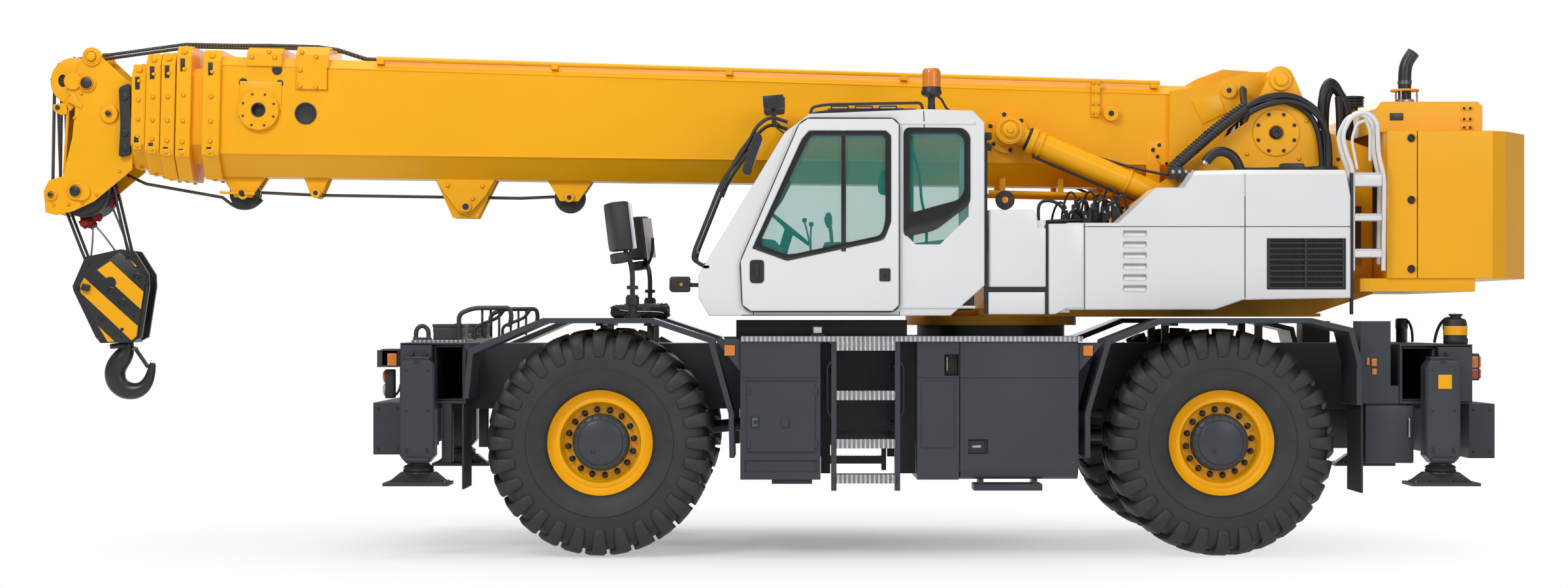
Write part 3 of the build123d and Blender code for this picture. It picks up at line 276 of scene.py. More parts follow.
# %% Glass and lamps
def glass(name, tint, alpha, roughness=0.03):
    f = Finish(name, tint, roughness, Alpha=alpha, IOR=1.5)
    smear = f.noise(3.0, 4.0)
    f.feed(Roughness=roughness + smear * 0.03)
    return f.material


def lens(name, colour):
    f = Finish(name, colour, 0.12, Coat_Weight=0.6)
    x, z = f.axis("X"), f.axis("Z")
    ribs = x.wave(520.0) * z.wave(520.0)
    f.feed(Base_Color=f.mix(f.band(ribs, -0.6, 0.8), tuple(c * 0.55 for c in colour), colour))
    f.bump(ribs, 0.0008, 0.5)
    return f.material


window_glass = glass("tinted safety glass", (0.04, 0.40, 0.33), 0.21)
# the mirror face is smooth and reflects for real, and its pale grey colour is a painted reflection
mirror_glass_painted_reflection = glass("mirror face", (0.62, 0.65, 0.68), 1.0)
amber, red_lens = lens("amber lens", (0.95, 0.26, 0.01)), lens("red lens", (0.62, 0.02, 0.01))
clear_lens = lens("clear lens", (0.75, 0.77, 0.78))
print("glass and lenses ready")

# %% [markdown]
# The frame's own solids keep their shape and only change finish. A short table pairs each finish with the
# nodes that wear it; the nodes that get a dressed piece later are replaced there.

# %% Finishes of the frame's nodes
WEARS = {
    yellow: "turntable counterweight engine_hood boom_base tele_1 tele_2 tele_3 tele_4 boom_head "
            "luff_barrels luff_rods",
    white: "cab_shell cab_door machinery_housing rear_ladder",
    grey: "carrier_frame axles fenders side_lockers slew_ring deck_fittings carrier_lamps ladders",
    black: "engine_block housing_grille boom_sheaves head_sheaves mirror_stands cab_trim hook_block "
           "drum_main drum_aux",
    plastic: "cab_interior", steel: "exhaust hook", chequer_plate: "deck_plates", flap_rubber: "mud_flaps",
    window_glass: "cab_glass door_glass",
}
for corner in ("fl", "fr", "rl", "rr"):
    WEARS[grey] += f" knuckle_{corner} beam_{corner} jack_{corner}"
    WEARS[yellow] += f" rim_{corner}"
    WEARS[tread_rubber] = WEARS.get(tread_rubber, "") + f" tyre_{corner}"


for finish, names in WEARS.items():
    for node in names.split():
        holder = bpy.data.objects[node]
        for slot in holder.material_slots:
            slot.material = finish
print("finishes on", sum(len(names.split()) for names in WEARS.values()), "nodes")

# %% [markdown]
# The studio: a pale floor, a pale surround that only the camera and reflections see at full strength, and
# large soft lamps from above, both sides and the front. The camera looks square at the crane's left side.

# %% Floor, light and camera
def floor_finish():
    """A matt pale floor whose far parts shine plain white to the camera and to mirror rays."""
    f = Finish("pale floor", (0.86, 0.86, 0.87), 0.8)
    grain = f.noise(2.0, 3.0)
    f.feed(Roughness=0.75 + grain * 0.1)
    x, y = f.axis("X"), f.axis("Y")
    away = (x * x * 0.55 + y * y).power(0.5)
    path = {"out": "Is Camera Ray"}
    seen = f.node("ShaderNodeLightPath", **path) + f.node("ShaderNodeLightPath", out="Is Glossy Ray")
    share = (f.band(away, 0.6, 4.6) * 0.70 + 0.30) * seen.clamped()
    glow = f.node("ShaderNodeEmission", inputs={"Color": (1.0, 1.0, 1.0, 1.0), "Strength": 1.0})
    mixed = f.node("ShaderNodeMixShader", inputs={0: share, 1: Val(f, f.shader.outputs[0]), 2: glow})
    f.tree.links.new(mixed.socket, f.tree.nodes["Material Output"].inputs["Surface"])
    return f.material


def studio():
    """Floor, world, lamps and camera."""
    floor_mesh = bpy.data.meshes.new("floor")
    half = 60.0
    floor_mesh.from_pydata([(-half, -half, 0), (half, -half, 0), (half, half, 0), (-half, half, 0)], [],
                           [(0, 1, 2, 3)])
    floor = bpy.data.objects.new("floor", floor_mesh)
    bpy.context.scene.collection.objects.link(floor)
    floor_mesh.materials.append(floor_finish())

    world = bpy.data.worlds.new("studio")
    bpy.context.scene.world = world
    world.use_nodes = True
    nodes, links = world.node_tree.nodes, world.node_tree.links
    background = nodes["Background"]
    path = nodes.new("ShaderNodeLightPath")
    soft, plain, mix = background, nodes.new("ShaderNodeBackground"), nodes.new("ShaderNodeMixShader")
    soft.inputs["Color"].default_value = (0.95, 0.97, 1.0, 1.0)
    soft.inputs["Strength"].default_value = 0.36
    plain.inputs["Color"].default_value = (1.0, 1.0, 1.0, 1.0)
    plain.inputs["Strength"].default_value = 1.0
    seen = nodes.new("ShaderNodeMath")
    seen.operation = "MAXIMUM"
    links.new(path.outputs["Is Camera Ray"], seen.inputs[0])
    links.new(path.outputs["Is Transmission Ray"], seen.inputs[1])
    links.new(seen.outputs[0], mix.inputs[0])
    links.new(soft.outputs[0], mix.inputs[1])
    links.new(plain.outputs[0], mix.inputs[2])
    links.new(mix.outputs[0], nodes["World Output"].inputs["Surface"])

    # name, place, aim, size, watts
    lamps = (
        ("key", (-7.0, -13.0, 12.0), (0.0, 0.0, 2.0), 7.0, 1250.0),
        ("fill", (9.0, -14.0, 8.0), (1.0, 0.0, 1.5), 8.0, 520.0),
        ("top", (0.0, 0.0, 14.0), (0.0, 0.0, 0.0), 12.0, 800.0),
        ("back", (2.0, 14.0, 9.0), (0.0, 0.0, 2.0), 10.0, 700.0),
    )
    for name, place, aim, size, watts in lamps:
        light = bpy.data.lights.new(name, "AREA")
        light.shape, light.size, light.energy = "DISK", size, watts
        lamp = bpy.data.objects.new(name, light)
        lamp.location = place
        lamp.rotation_euler = (Vector(aim) - Vector(place)).to_track_quat("-Z", "Y").to_euler()
        bpy.context.scene.collection.objects.link(lamp)

    camera = bpy.data.cameras.new("camera")
    camera.lens, camera.sensor_width, camera.shift_y = 62.15, 36.0, 40 / 2400
    eye = bpy.data.objects.new("camera", camera)
    eye.location = (0.07, -23.6, 1.938)
    eye.rotation_euler = (math.radians(90), 0, 0)
    bpy.context.scene.collection.objects.link(eye)
    bpy.context.scene.camera = eye
    bpy.context.scene.view_settings.view_transform = "Standard"


studio()
print("studio ready")

# %% [markdown]
# Every dressed piece is gathered in one mesh from a few closed forms: bevelled blocks, slabs cut from an
# outline, turned forms, swept tubes and bolts. Small rounded edges matter, because a real edge always
# catches a thin line of light. One class collects the forms and hands the piece to its body at the end.

# %% A collector of closed forms
class Piece:
    """One mesh built from closed forms, each with one of the piece's finishes."""

    def __init__(self, name, *finishes):
        self.name, self.finishes, self.bm = name, finishes, bmesh.new()

    def grab(self, faces, finish, edge=0.0, steps=2):
        """Sets a form's finish and rounds its sharp edges."""
        for face in faces:
            face.material_index = finish
        if edge:
            edges = {e for f in faces for e in f.edges if len(e.link_faces) == 2}
            sharp = [e for e in edges if e.calc_face_angle(0.0) > 0.6]
            bmesh.ops.bevel(
                self.bm, geom=sharp, offset=edge, segments=steps, profile=0.6, affect="EDGES",
                clamp_overlap=True,
                material=finish,
            )

    def block(self, low, high, finish=0, edge=0.005, turn=None):
        """A block between two corners; turn is a matrix about the block's own middle."""
        low, high = Vector(low), Vector(high)
        middle = (low + high) / 2
        made = bmesh.ops.create_cube(self.bm, size=1.0)
        fit = Matrix.Translation(middle) @ (turn or Matrix.Identity(4)) @ Matrix.Diagonal((*(high - low),
                1.0))
        bmesh.ops.transform(self.bm, matrix=fit, verts=made["verts"])
        faces = {f for v in made["verts"] for f in v.link_faces}
        self.grab(faces, finish, edge)

    def slab(self, outline, low, high, finish=0, edge=0.005, holes=(), axis="Y"):
        """An outline with holes, made solid between two levels of an axis."""
        place = {
            "Y": lambda a, b, c: (a, c, b),
            "X": lambda a, b, c: (c, a, b),
            "Z": lambda a, b, c: (a, b, c),
        }[axis]
        loops = []
        for ring in (outline, *holes):
            corners = [self.bm.verts.new(place(a, b, low)) for a, b in ring]
            loops += [self.bm.edges.new((corners[n - 1], corners[n])) for n in range(len(corners))]
        filled = bmesh.ops.triangle_fill(self.bm, use_beauty=True, use_dissolve=False, edges=loops)
        faces = [f for f in filled["geom"] if isinstance(f, bmesh.types.BMFace)]
        risen = bmesh.ops.extrude_face_region(self.bm, geom=faces, use_keep_orig=True)
        top = [v for v in risen["geom"] if isinstance(v, bmesh.types.BMVert)]
        lift = Vector(place(0, 0, high - low))
        bmesh.ops.translate(self.bm, vec=lift, verts=top)
        every = {f for v in top for f in v.link_faces} | set(faces)
        bmesh.ops.recalc_face_normals(self.bm, faces=list(every))
        self.grab(every, finish, edge)

    def turned(self, profile, centre, direction=(0, -1, 0), finish=0, steps=48):
        """A profile of (radius, along) pairs turned about a line; it closes on itself or on the line."""
        spin = Vector((0, 0, 1)).rotation_difference(Vector(direction))
        rings = []
        for radius, along in profile:
            if radius < 1e-6:
                spots = [Vector((0, 0, along))]
            else:
                turns = [2 * math.pi * n / steps for n in range(steps)]
                spots = [Vector((radius * math.cos(t), radius * math.sin(t), along)) for t in turns]
            rings.append([self.bm.verts.new(Vector(centre) + spin @ s) for s in spots])
        if len(rings[0]) > 1 and len(rings[-1]) > 1:
            rings.append(rings[0])
        faces = []
        for one, two in zip(rings, rings[1:]):
            for n in range(steps):
                corners = [one[n % len(one)], one[(n + 1) % len(one)], two[(n + 1) % len(two)],
                           two[n % len(two)]]
                corners = list(dict.fromkeys(corners))
                faces.append(self.bm.faces.new(corners))
        bmesh.ops.recalc_face_normals(self.bm, faces=faces)
        self.grab(faces, finish)

    def rod(self, start, end, radius, finish=0, edge=0.004, steps=24):
        """A round bar between two points with rounded ends."""
        start, end = Vector(start), Vector(end)
        long = (end - start).length
        edge = min(edge, radius * 0.45, long * 0.3)
        profile = ((0, 0), (radius - edge, 0), (radius, edge), (radius, long - edge),
                   (radius - edge, long), (0, long))
        self.turned(profile, start, end - start, finish, steps)

    def tube(self, points, radius, finish=0, smooth=True, sides=3, swell=()):
        """A tube along points: a smooth line for hoses, straight runs for bars.

        Swell scales it at each point.
        """
        line = bpy.data.curves.new("line", "CURVE")
        line.dimensions, line.bevel_depth, line.bevel_resolution = "3D", radius, sides
        line.resolution_u, line.use_fill_caps = 8, True
        run = line.splines.new("NURBS" if smooth else "POLY")
        run.points.add(len(points) - 1)
        for spot, point, scale in zip(run.points, points, swell or [1.0] * len(points)):
            spot.co, spot.radius = (*point, 1.0), scale
        if smooth:
            run.order_u, run.use_endpoint_u = 4 if len(points) > 3 else 3, True
        holder = bpy.data.objects.new("line", line)
        mesh = bpy.data.meshes.new_from_object(holder)
        for polygon in mesh.polygons:
            polygon.material_index = finish
        self.bm.from_mesh(mesh)
        bpy.data.objects.remove(holder)
        bpy.data.curves.remove(line)
        bpy.data.meshes.remove(mesh)

    def bent(self, points, radius, finish=0, bend=0.06, sides=3):
        """A bar of straight runs whose corners are rounded."""
        points = [Vector(p) for p in points]
        line = [points[0]]
        for before, corner, after in zip(points, points[1:], points[2:]):
            reach = min(bend, (before - corner).length * 0.45, (after - corner).length * 0.45)
            a, b = corner + (before - corner).normalized() * reach, corner + (after
                    - corner).normalized() * reach
            for n in range(7):
                t = n / 6
                line.append(a * (1 - t) ** 2 + corner * 2 * t * (1 - t) + b * t * t)
        line.append(points[-1])
        self.tube(line, radius, finish, smooth=False, sides=sides)

    def bolts(self, places, direction=(0, -1, 0), size=0.012, finish=0, washer=True):
        """Hexagon heads on washers, at places on a face that looks along direction."""
        for place in places:
            if washer:
                ring = ((0, 0), (size * 1.35, 0), (size * 1.35, size * 0.25), (0, size * 0.25))
                self.turned(ring, place, direction, finish, 14)
            head = ((0, 0), (size, 0), (size, size * 0.8), (size * 0.82, size), (0, size))
            self.turned(head, place, direction, finish, 6)

    def mirror(self):
        """Adds the same forms on the crane's other side."""
        made = bmesh.ops.duplicate(self.bm, geom=list(self.bm.verts) + list(self.bm.edges)
                                   + list(self.bm.faces))
        verts = [v for v in made["geom"] if isinstance(v, bmesh.types.BMVert)]
        bmesh.ops.scale(self.bm, vec=(1, -1, 1), verts=verts)
        faces = [f for f in made["geom"] if isinstance(f, bmesh.types.BMFace)]
        bmesh.ops.reverse_faces(self.bm, faces=faces)
        return self

    def done(self, body, slot, at=(0, 0, 0), sharp=38.0, stands_for=(), span=None):
        """Makes the object; at is its own origin, which its finish measures from.

        A piece given a span stays where it is made and is attached to no body; the span's two points are not
        used.
        """
        mesh = bpy.data.meshes.new(self.name)
        bmesh.ops.translate(self.bm, vec=-Vector(at), verts=self.bm.verts)
        self.bm.to_mesh(mesh)
        self.bm.free()
        for finish in self.finishes:
            mesh.materials.append(finish)
        mesh.polygons.foreach_set("use_smooth", [True] * len(mesh.polygons))
        mesh.set_sharp_from_angle(angle=math.radians(sharp))
        piece = bpy.data.objects.new(self.name, mesh)
        piece.location = at
        bpy.context.scene.collection.objects.link(piece)
        if span:
            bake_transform(piece)
        else:
            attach(piece, body)
        if stands_for:
            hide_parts(*stands_for)
        MADE.append((self.name, len(mesh.polygons)))
        return piece


MADE = []


def rounded(outline, radius=0.03, steps=5):
    """The same outline with its corners rounded."""
    points = [Vector(p) for p in outline]
    line = []
    for n, corner in enumerate(points):
        before, after = points[n - 1], points[(n + 1) % len(points)]
        reach = min(radius, (before - corner).length * 0.45, (after - corner).length * 0.45)
        a, b = corner + (before - corner).normalized() * reach, corner + (after
                - corner).normalized() * reach
        for k in range(steps + 1):
            t = k / steps
            spot = a * (1 - t) ** 2 + corner * 2 * t * (1 - t) + b * t * t
            line.append((spot.x, spot.y))
    return line


def ring_of(radius, count, centre, level, first=0.0, axis="Y"):
    """Places on a circle in a plane across an axis."""
    spots = []
    for n in range(count):
        turn = first + 2 * math.pi * n / count
        a, b = centre[0] + radius * math.cos(turn), centre[1] + radius * math.sin(turn)
        spots.append({"Y": (a, level, b), "X": (level, a, b), "Z": (a, b, level)}[axis])
    return spots


print("piece kit ready")

# %% [markdown]
# A rough-terrain tyre has a smooth sidewall, a raised bead ring and heavy bars that run from low on the
# shoulder up and over the crown, half a pitch apart on the two sides. The carcass is turned from a profile,
# and each bar is a short strip of blocks laid along that profile, so it follows the round shoulder.

# %% Tyres
WHEELS = {
    "fl": (-1.433, -1), "fr": (-1.433, 1), "rl": (3.644, -1), "rr": (3.644, 1),
}
AXLE_Z = 0.935
TYRE_Y = 1.225
BARS = 28
CARCASS = (
    (0.425, -0.245), (0.436, -0.285), (0.462, -0.306), (0.52, -0.335), (0.60, -0.356), (0.607, -0.348),
    (0.69, -0.354),
    (0.78, -0.338), (0.84, -0.306), (0.872, -0.245), (0.884, -0.12), (0.887, 0.0), (0.884, 0.12),
    (0.872, 0.245),
    (0.84, 0.306), (0.78, 0.338), (0.69, 0.354), (0.607, 0.348), (0.60, 0.356), (0.52, 0.335),
    (0.462, 0.306),
    (0.436, 0.285), (0.425, 0.245),
)
# a bar's stations: radius, across, half width in degrees, lead in degrees
BAR_LINE = (
    (0.700, 0.352, 2.6, -0.4), (0.716, 0.366, 3.2, -0.3), (0.80, 0.366, 3.6, 0.0), (0.866, 0.350, 3.8, 0.0),
    (0.906, 0.312, 3.8, 0.3), (0.925, 0.23, 3.7, 1.6), (0.9325, 0.12, 3.5, 3.6), (0.9345, 0.03, 3.4, 5.4),
)


def tyre_mesh(piece, centre, side):
    """Carcass and bars of one tyre."""
    spin = Vector((0, side, 0))
    piece.turned(CARCASS, centre, spin, 0, 120)
    for across in (-1, 1):
        for bar in range(BARS):
            middle = 360.0 / BARS * (bar + (0.5 if across > 0 else 0.0))
            strip = []
            for radius, along, half, lead in BAR_LINE:
                ring = []
                for deep, edge in ((0.0, -1), (0.0, 1), (0.085, 1), (0.085, -1)):
                    turn = math.radians(middle + (lead + half * edge) * across)
                    back = along - deep * (0.75 if along > 0.3 else 0.0)
                    r = radius - deep * (0.2 if radius < 0.88 else 1.0)
                    spot = (centre[0] + r * math.cos(turn), centre[1] + back * across, centre[2] + r
                            * math.sin(turn))
                    ring.append(piece.bm.verts.new(spot))
                strip.append(ring)
            faces = [piece.bm.faces.new(strip[0]), piece.bm.faces.new(strip[-1][::-1])]
            for one, two in zip(strip, strip[1:]):
                for n in range(4):
                    corners = (one[n], one[(n + 1) % 4], two[(n + 1) % 4], two[n])
                    faces.append(piece.bm.faces.new(corners))
            bmesh.ops.recalc_face_normals(piece.bm, faces=faces)
            piece.grab(faces, 0, 0.006, 1)


for corner, (x, side) in WHEELS.items():
    tyre = Piece(f"tyre_{corner}_dressed", tread_rubber)
    middle = (x, side * TYRE_Y, AXLE_Z)
    tyre_mesh(tyre, middle, side)
    tyre.done(f"wheel_{corner}", "tyre", at=middle, sharp=50, stands_for=[f"tyre_{corner}"])
print("tyres", [m for m in MADE if "tyre" in m[0]])

# %% [markdown]
# The rim is a pressed and welded dish: an outer flange, a broad cone, a rolled lip, and a deep disc with a
# ring of black wheel nuts around the planetary hub, whose cover is held by small screws on its edge.

# %% Rims, nuts and hubs
RIM = (
    (0.452, -0.262), (0.449, -0.276), (0.441, -0.279), (0.434, -0.268), (0.418, -0.252), (0.402, -0.226),
    (0.374, -0.205),
    (0.352, -0.216), (0.334, -0.214), (0.326, -0.196), (0.322, -0.13), (0.305, -0.112), (0.18, -0.108),
    (0.18, -0.07),
    (0.34, -0.07), (0.38, -0.12), (0.40, 0.20), (0.415, 0.26), (0.449, 0.272), (0.452, 0.26), (0.43, 0.22),
    (0.425, -0.22),
)
HUB = (
    (0.0, -0.246), (0.168, -0.246), (0.182, -0.238), (0.186, -0.226), (0.200, -0.224), (0.224, -0.214),
    (0.230, -0.204),
    (0.230, -0.14), (0.236, -0.125), (0.236, -0.09), (0.0, -0.09),
)
for corner, (x, side) in WHEELS.items():
    middle = Vector((x, side * TYRE_Y, AXLE_Z))
    out = Vector((0, -side, 0))
    wheel = Piece(f"rim_{corner}_dressed", yellow, grey, black)
    wheel.turned(RIM, middle, out, 0, 96)
    wheel.turned(HUB, middle, out, 1, 72)
    nuts = ring_of(0.272, 16, (x, AXLE_Z), side * (TYRE_Y + 0.110), 0.12)
    for nut in nuts:
        stud = ((0, 0), (0.026, 0), (0.026, 0.012), (0.021, 0.014), (0.021, 0.034), (0.014, 0.038),
                (0.014, 0.052), (0, 0.054))
        wheel.turned(stud, nut, -out, 2, 12)
    screws = ring_of(0.209, 20, (x, AXLE_Z), side * (TYRE_Y + 0.218))
    wheel.bolts(screws, -out, 0.0085, 1, washer=False)
    wheel.bolts(ring_of(0.09, 1, (x, AXLE_Z), side * (TYRE_Y + 0.246), 4.0), -out, 0.014, 1)
    wheel.done(f"wheel_{corner}", "yellow_paint", at=middle, stands_for=[f"rim_{corner}"])
print("rims", [m for m in MADE if "rim" in m[0]])

# %% [markdown]
# The cab's glass is bonded, so a wide black band is printed round each pane, with a rubber lip at its edge.
# A band is an outline with a hole, made solid; its rounded corners come from one helper for all of them.

# %% Window bands and door seams
DOOR_FACE, CAB_FACE = -1.434, -1.390
FRAME_OUT = ((-0.190, 2.525), (0.095, 2.423), (0.890, 2.594), (0.948, 2.742), (0.948, 3.450),
             (0.905, 3.490),
             (0.275, 3.490), (0.215, 3.420))
FRAME_IN = ((-0.135, 2.555), (0.105, 2.470), (0.868, 2.634), (0.900, 2.755), (0.900, 3.425), (0.880, 3.448),
            (0.300, 3.448), (0.262, 3.400))
REAR_OUT = ((1.050, 3.520), (1.540, 3.516), (1.600, 3.460), (1.600, 2.890), (1.310, 2.672), (1.050, 2.615))
REAR_IN = ((1.102, 3.465), (1.500, 3.465), (1.548, 3.420), (1.548, 2.990), (1.500, 2.925), (1.102, 2.816))
DOOR_RING = ((-0.284, 2.420), (-0.268, 2.060), (-0.200, 2.013), (0.960, 2.013), (1.010, 2.060),
             (1.010, 3.540),
             (0.960, 3.586), (0.265, 3.586), (0.195, 3.540))

ceramic = paint("black glass print", (0.012, 0.012, 0.013), 0.22, tone=0.1, coat=0.3)
band = Piece("door_window_band", ceramic, flap_rubber)
band.slab(rounded(FRAME_OUT, 0.05), DOOR_FACE - 0.003, DOOR_FACE + 0.012, 0, 0.0015,
          [rounded(FRAME_IN, 0.05)])
band.block((0.538, DOOR_FACE - 0.002, 2.50), (0.578, DOOR_FACE + 0.014, 3.47), 0, 0.003)
for row in (0.552, 0.564):
    band.tube([(row, DOOR_FACE - 0.003, 2.56), (row, DOOR_FACE - 0.003, 3.45)], 0.0025, 1, smooth=False)
band.done("door", "black_plastic")

rear_band = Piece("rear_window_band", ceramic)
rear_band.slab(rounded(REAR_OUT, 0.06), CAB_FACE - 0.005, CAB_FACE + 0.002, 0, 0.0015,
               [rounded(REAR_IN, 0.05)])
rear_band.done("upper", "black_plastic")


def grown(outline, by):
    """An outline moved outwards from its middle."""
    middle = sum((Vector(p) for p in outline), Vector((0, 0))) / len(outline)
    return [tuple(Vector(p) + (Vector(p) - middle).normalized() * by) for p in outline]


seal = Piece("door_seal", flap_rubber)
seal.slab(rounded(grown(DOOR_RING, 0.014), 0.05), -1.4255, -1.3975, 0, 0.002,
          [rounded(grown(DOOR_RING, -0.02), 0.05)])
seal.done("door", "rubber")
print("window bands", MADE[-3:])

# %% [markdown]
# Handles, latch and seams give the flat door its scale. Each is a shallow tray with a rounded rim, and the
# grip inside it is a bar that stands free, so it holds a real shadow.

# %% Door handle, latch and body seams
door_bits = Piece("door_handle_and_latch", plastic, cast)
door_bits.slab(rounded(((-0.210, 2.240), (-0.094, 2.240), (-0.094, 2.432), (-0.210, 2.432)), 0.035),
               DOOR_FACE - 0.006,
               DOOR_FACE, 0, 0.002, [rounded(((-0.196, 2.256), (-0.108, 2.256), (-0.108, 2.416),
                       (-0.196, 2.416)), 0.028)])
door_bits.slab(rounded(((-0.198, 2.254), (-0.106, 2.254), (-0.106, 2.418), (-0.198, 2.418)), 0.03),
               DOOR_FACE - 0.0015,
               DOOR_FACE, 1, 0.0)
door_bits.block((-0.166, DOOR_FACE - 0.020, 2.275), (-0.138, DOOR_FACE - 0.006, 2.395), 0, 0.006)
for z in (2.283, 2.387):
    door_bits.block((-0.162, DOOR_FACE - 0.010, z - 0.008), (-0.142, DOOR_FACE, z + 0.008), 0, 0.003)
door_bits.slab(rounded(((0.850, 2.255), (0.942, 2.255), (0.942, 2.362), (0.850, 2.362)), 0.014), DOOR_FACE
               - 0.005,
               DOOR_FACE, 0, 0.002, [rounded(((0.862, 2.267), (0.930, 2.267), (0.930, 2.350),
                       (0.862, 2.350)), 0.01)])
door_bits.slab(((0.862, 2.267), (0.930, 2.267), (0.930, 2.350), (0.862, 2.350)), DOOR_FACE - 0.001,
               DOOR_FACE, 1, 0)
door_bits.turned(((0, 0), (0.019, 0), (0.019, 0.008), (0.012, 0.010), (0.012, 0.004), (0, 0.004)),
                 (0.896, DOOR_FACE - 0.001, 2.309), (0, -1, 0), 0, 28)
door_bits.done("door", "black_plastic")

seams = Piece("cab_seams", flap_rubber)
seams.tube([(1.216, CAB_FACE - 0.0005, 3.655), (1.220, CAB_FACE - 0.0005, 3.52)], 0.004, 0, smooth=False)
for x in (-0.18, 1.016):
    seams.tube([(x, CAB_FACE - 0.0005, 1.985), (x, CAB_FACE - 0.0005, 2.008)], 0.0035, 0, smooth=False)
seams.block((-0.28, CAB_FACE - 0.003, 1.976), (1.02, CAB_FACE + 0.001, 1.982), 0, 0.001)
seams.done("upper", "rubber")
print("door details", MADE[-2:])

# %% [markdown]
# Outside the cab stand a bent guard, the roof rail, a rotating beacon, lamps and a mirror. Bars are swept
# along points with rounded corners; the beacon is turned, with a ribbed amber lens over a dark base.

# %% Guard rails, beacon, lamps and mirror
trim = Piece("cab_trim_dressed", plastic, amber, clear_lens, mirror_glass_painted_reflection)
for y in (-1.36, -0.53):
    trim.bent([(0.10, y, 3.565), (-0.047, y, 3.612), (-0.158, y, 3.530), (-0.221, y, 3.387),
               (-0.443, y, 3.070),
               (-0.665, y, 2.515), (-0.681, y, 2.435), (-0.590, y, 2.385), (-0.560, y, 2.40)], 0.016, 0,
               0.09)
    trim.bent([(-0.190, y, 3.455), (-0.300, y, 3.310), (-0.420, y, 3.075), (-0.455, y, 2.985)], 0.013, 0,
              0.05)
    trim.block((-0.60, y - 0.03, 2.355), (-0.535, y + 0.03, 2.395), 0, 0.008)
for x, z in ((-0.170, 3.50), (-0.443, 3.070), (-0.665, 2.515)):
    trim.tube([(x, -1.36, z), (x, -0.53, z)], 0.012, 0, smooth=False)
trim.bent([(0.285, -1.33, 3.622), (0.300, -1.33, 3.690), (0.420, -1.33, 3.712), (1.200, -1.33, 3.726),
           (1.215, -1.33, 3.652)],
          0.013, 0, 0.05)
trim.bent([(0.285, -0.60, 3.622), (0.300, -0.60, 3.690), (0.420, -0.60, 3.712), (1.200, -0.60, 3.726),
           (1.215, -0.60, 3.652)],
          0.013, 0, 0.05)
trim.block((0.43, -1.22, 3.652), (1.06, -0.72, 3.693), 0, 0.012)
for n in range(3):
    trim.bent([(0.46 + n * 0.2, -1.23, 3.690), (0.46 + n * 0.2, -1.23, 3.706),
               (0.60 + n * 0.2, -1.23, 3.706),
               (0.60 + n * 0.2, -1.23, 3.690)], 0.006, 0, 0.01)

BEACON = (1.291, -1.18, 3.652)
trim.turned(((0, 0), (0.075, 0), (0.075, 0.012), (0.034, 0.020), (0.028, 0.10), (0.032, 0.128),
             (0.060, 0.138),
             (0.080, 0.150), (0.086, 0.165), (0.086, 0.178), (0.078, 0.200), (0.078, 0.216), (0, 0.216)),
             BEACON, (0, 0, 1), 0, 40)
LENS = [(0.0, 0.214), (0.077, 0.214)]
for n in range(7):
    LENS += [(0.0785, 0.222 + n * 0.018), (0.0765, 0.231 + n * 0.018)]
LENS += [(0.075, 0.352), (0.060, 0.370), (0.0, 0.376)]
trim.turned(LENS, BEACON, (0, 0, 1), 1, 40)
trim.bent([(1.33, -1.18, 3.80), (1.375, -1.17, 3.77), (1.41, -1.17, 3.70), (1.45, -1.17, 3.664)], 0.010, 0,
          0.03)


def lamp(piece, low, high, facing, shell, glass_index, turn=None):
    """A work lamp: a bevelled case with cooling ribs, a rim and a lens that faces -X or +X."""
    low, high = Vector(low), Vector(high)
    piece.block(low, high, shell, 0.016, turn)
    x = low.x if facing < 0 else high.x
    rim_low, rim_high = Vector((x - 0.008, low.y + 0.008, low.z + 0.008)), Vector((x + 0.008, high.y
            - 0.008, high.z - 0.008))
    piece.block(rim_low, rim_high, shell, 0.006, turn)
    inner = Vector((0, 0.014, 0.014))
    piece.block(rim_low + inner + Vector((-0.006, 0, 0)), rim_high - inner + Vector((-0.006, 0, 0)),
                glass_index, 0.004, turn)
    for n in range(5):
        z = low.z + (high.z - low.z) * (0.2 + 0.15 * n)
        back = high.x if facing < 0 else low.x
        piece.block((back - 0.02, low.y + 0.02, z - 0.004), (back + 0.008, high.y - 0.02, z + 0.004),
                    shell, 0.001, turn)


for y in (-1.31, -0.70):
    lamp(trim, (-0.095, y, 3.680), (0.070, y + 0.14, 3.795), -1, 0, 2,
         Matrix.Rotation(math.radians(-5), 4, "Y"))
    trim.block((-0.035, y + 0.05, 3.590), (0.005, y + 0.09, 3.690), 0, 0.006)
    trim.tube([(0.0, y + 0.07, 3.64), (-0.05, y + 0.06, 3.60), (0.02, y + 0.03, 3.56),
               (0.07, y + 0.03, 3.52)], 0.007, 0)
lamp(trim, (-0.862, -1.345, 2.168), (-0.705, -1.225, 2.298), -1, 0, 2)
trim.turned(((0, 0), (0.014, 0), (0.014, 0.006), (0, 0.008)), (-0.775, -1.345, 2.232), (0, -1, 0), 1, 16)
trim.block((-0.712, -1.305, 2.210), (-0.622, -1.265, 2.245), 0, 0.006)
MIRROR = ((-0.172, 3.475), (-0.118, 3.462), (-0.107, 3.430), (-0.204, 3.140), (-0.232, 3.125),
          (-0.270, 3.150), (-0.268, 3.190))
trim.slab(rounded(MIRROR, 0.03), -1.43, -1.27, 0, 0.018)
trim.slab(((-0.108, 3.415), (-0.103, 3.412), (-0.196, 3.165), (-0.201, 3.168)), -1.415, -1.285, 3, 0.0)
trim.bent([(-0.19, -1.35, 3.32), (-0.235, -1.35, 3.34), (-0.30, -1.355, 3.29)], 0.012, 0, 0.02)
trim.done("upper", "black_plastic", stands_for=["cab_trim"])
print("cab trim", MADE[-1])

# %% [markdown]
# Seen through tinted glass, the cab still needs its seat, column, wheel and levers. Cushions are crowned
# blocks: a cube whose corners are drawn in by a power law, with a woven bump and a piped seam round them.

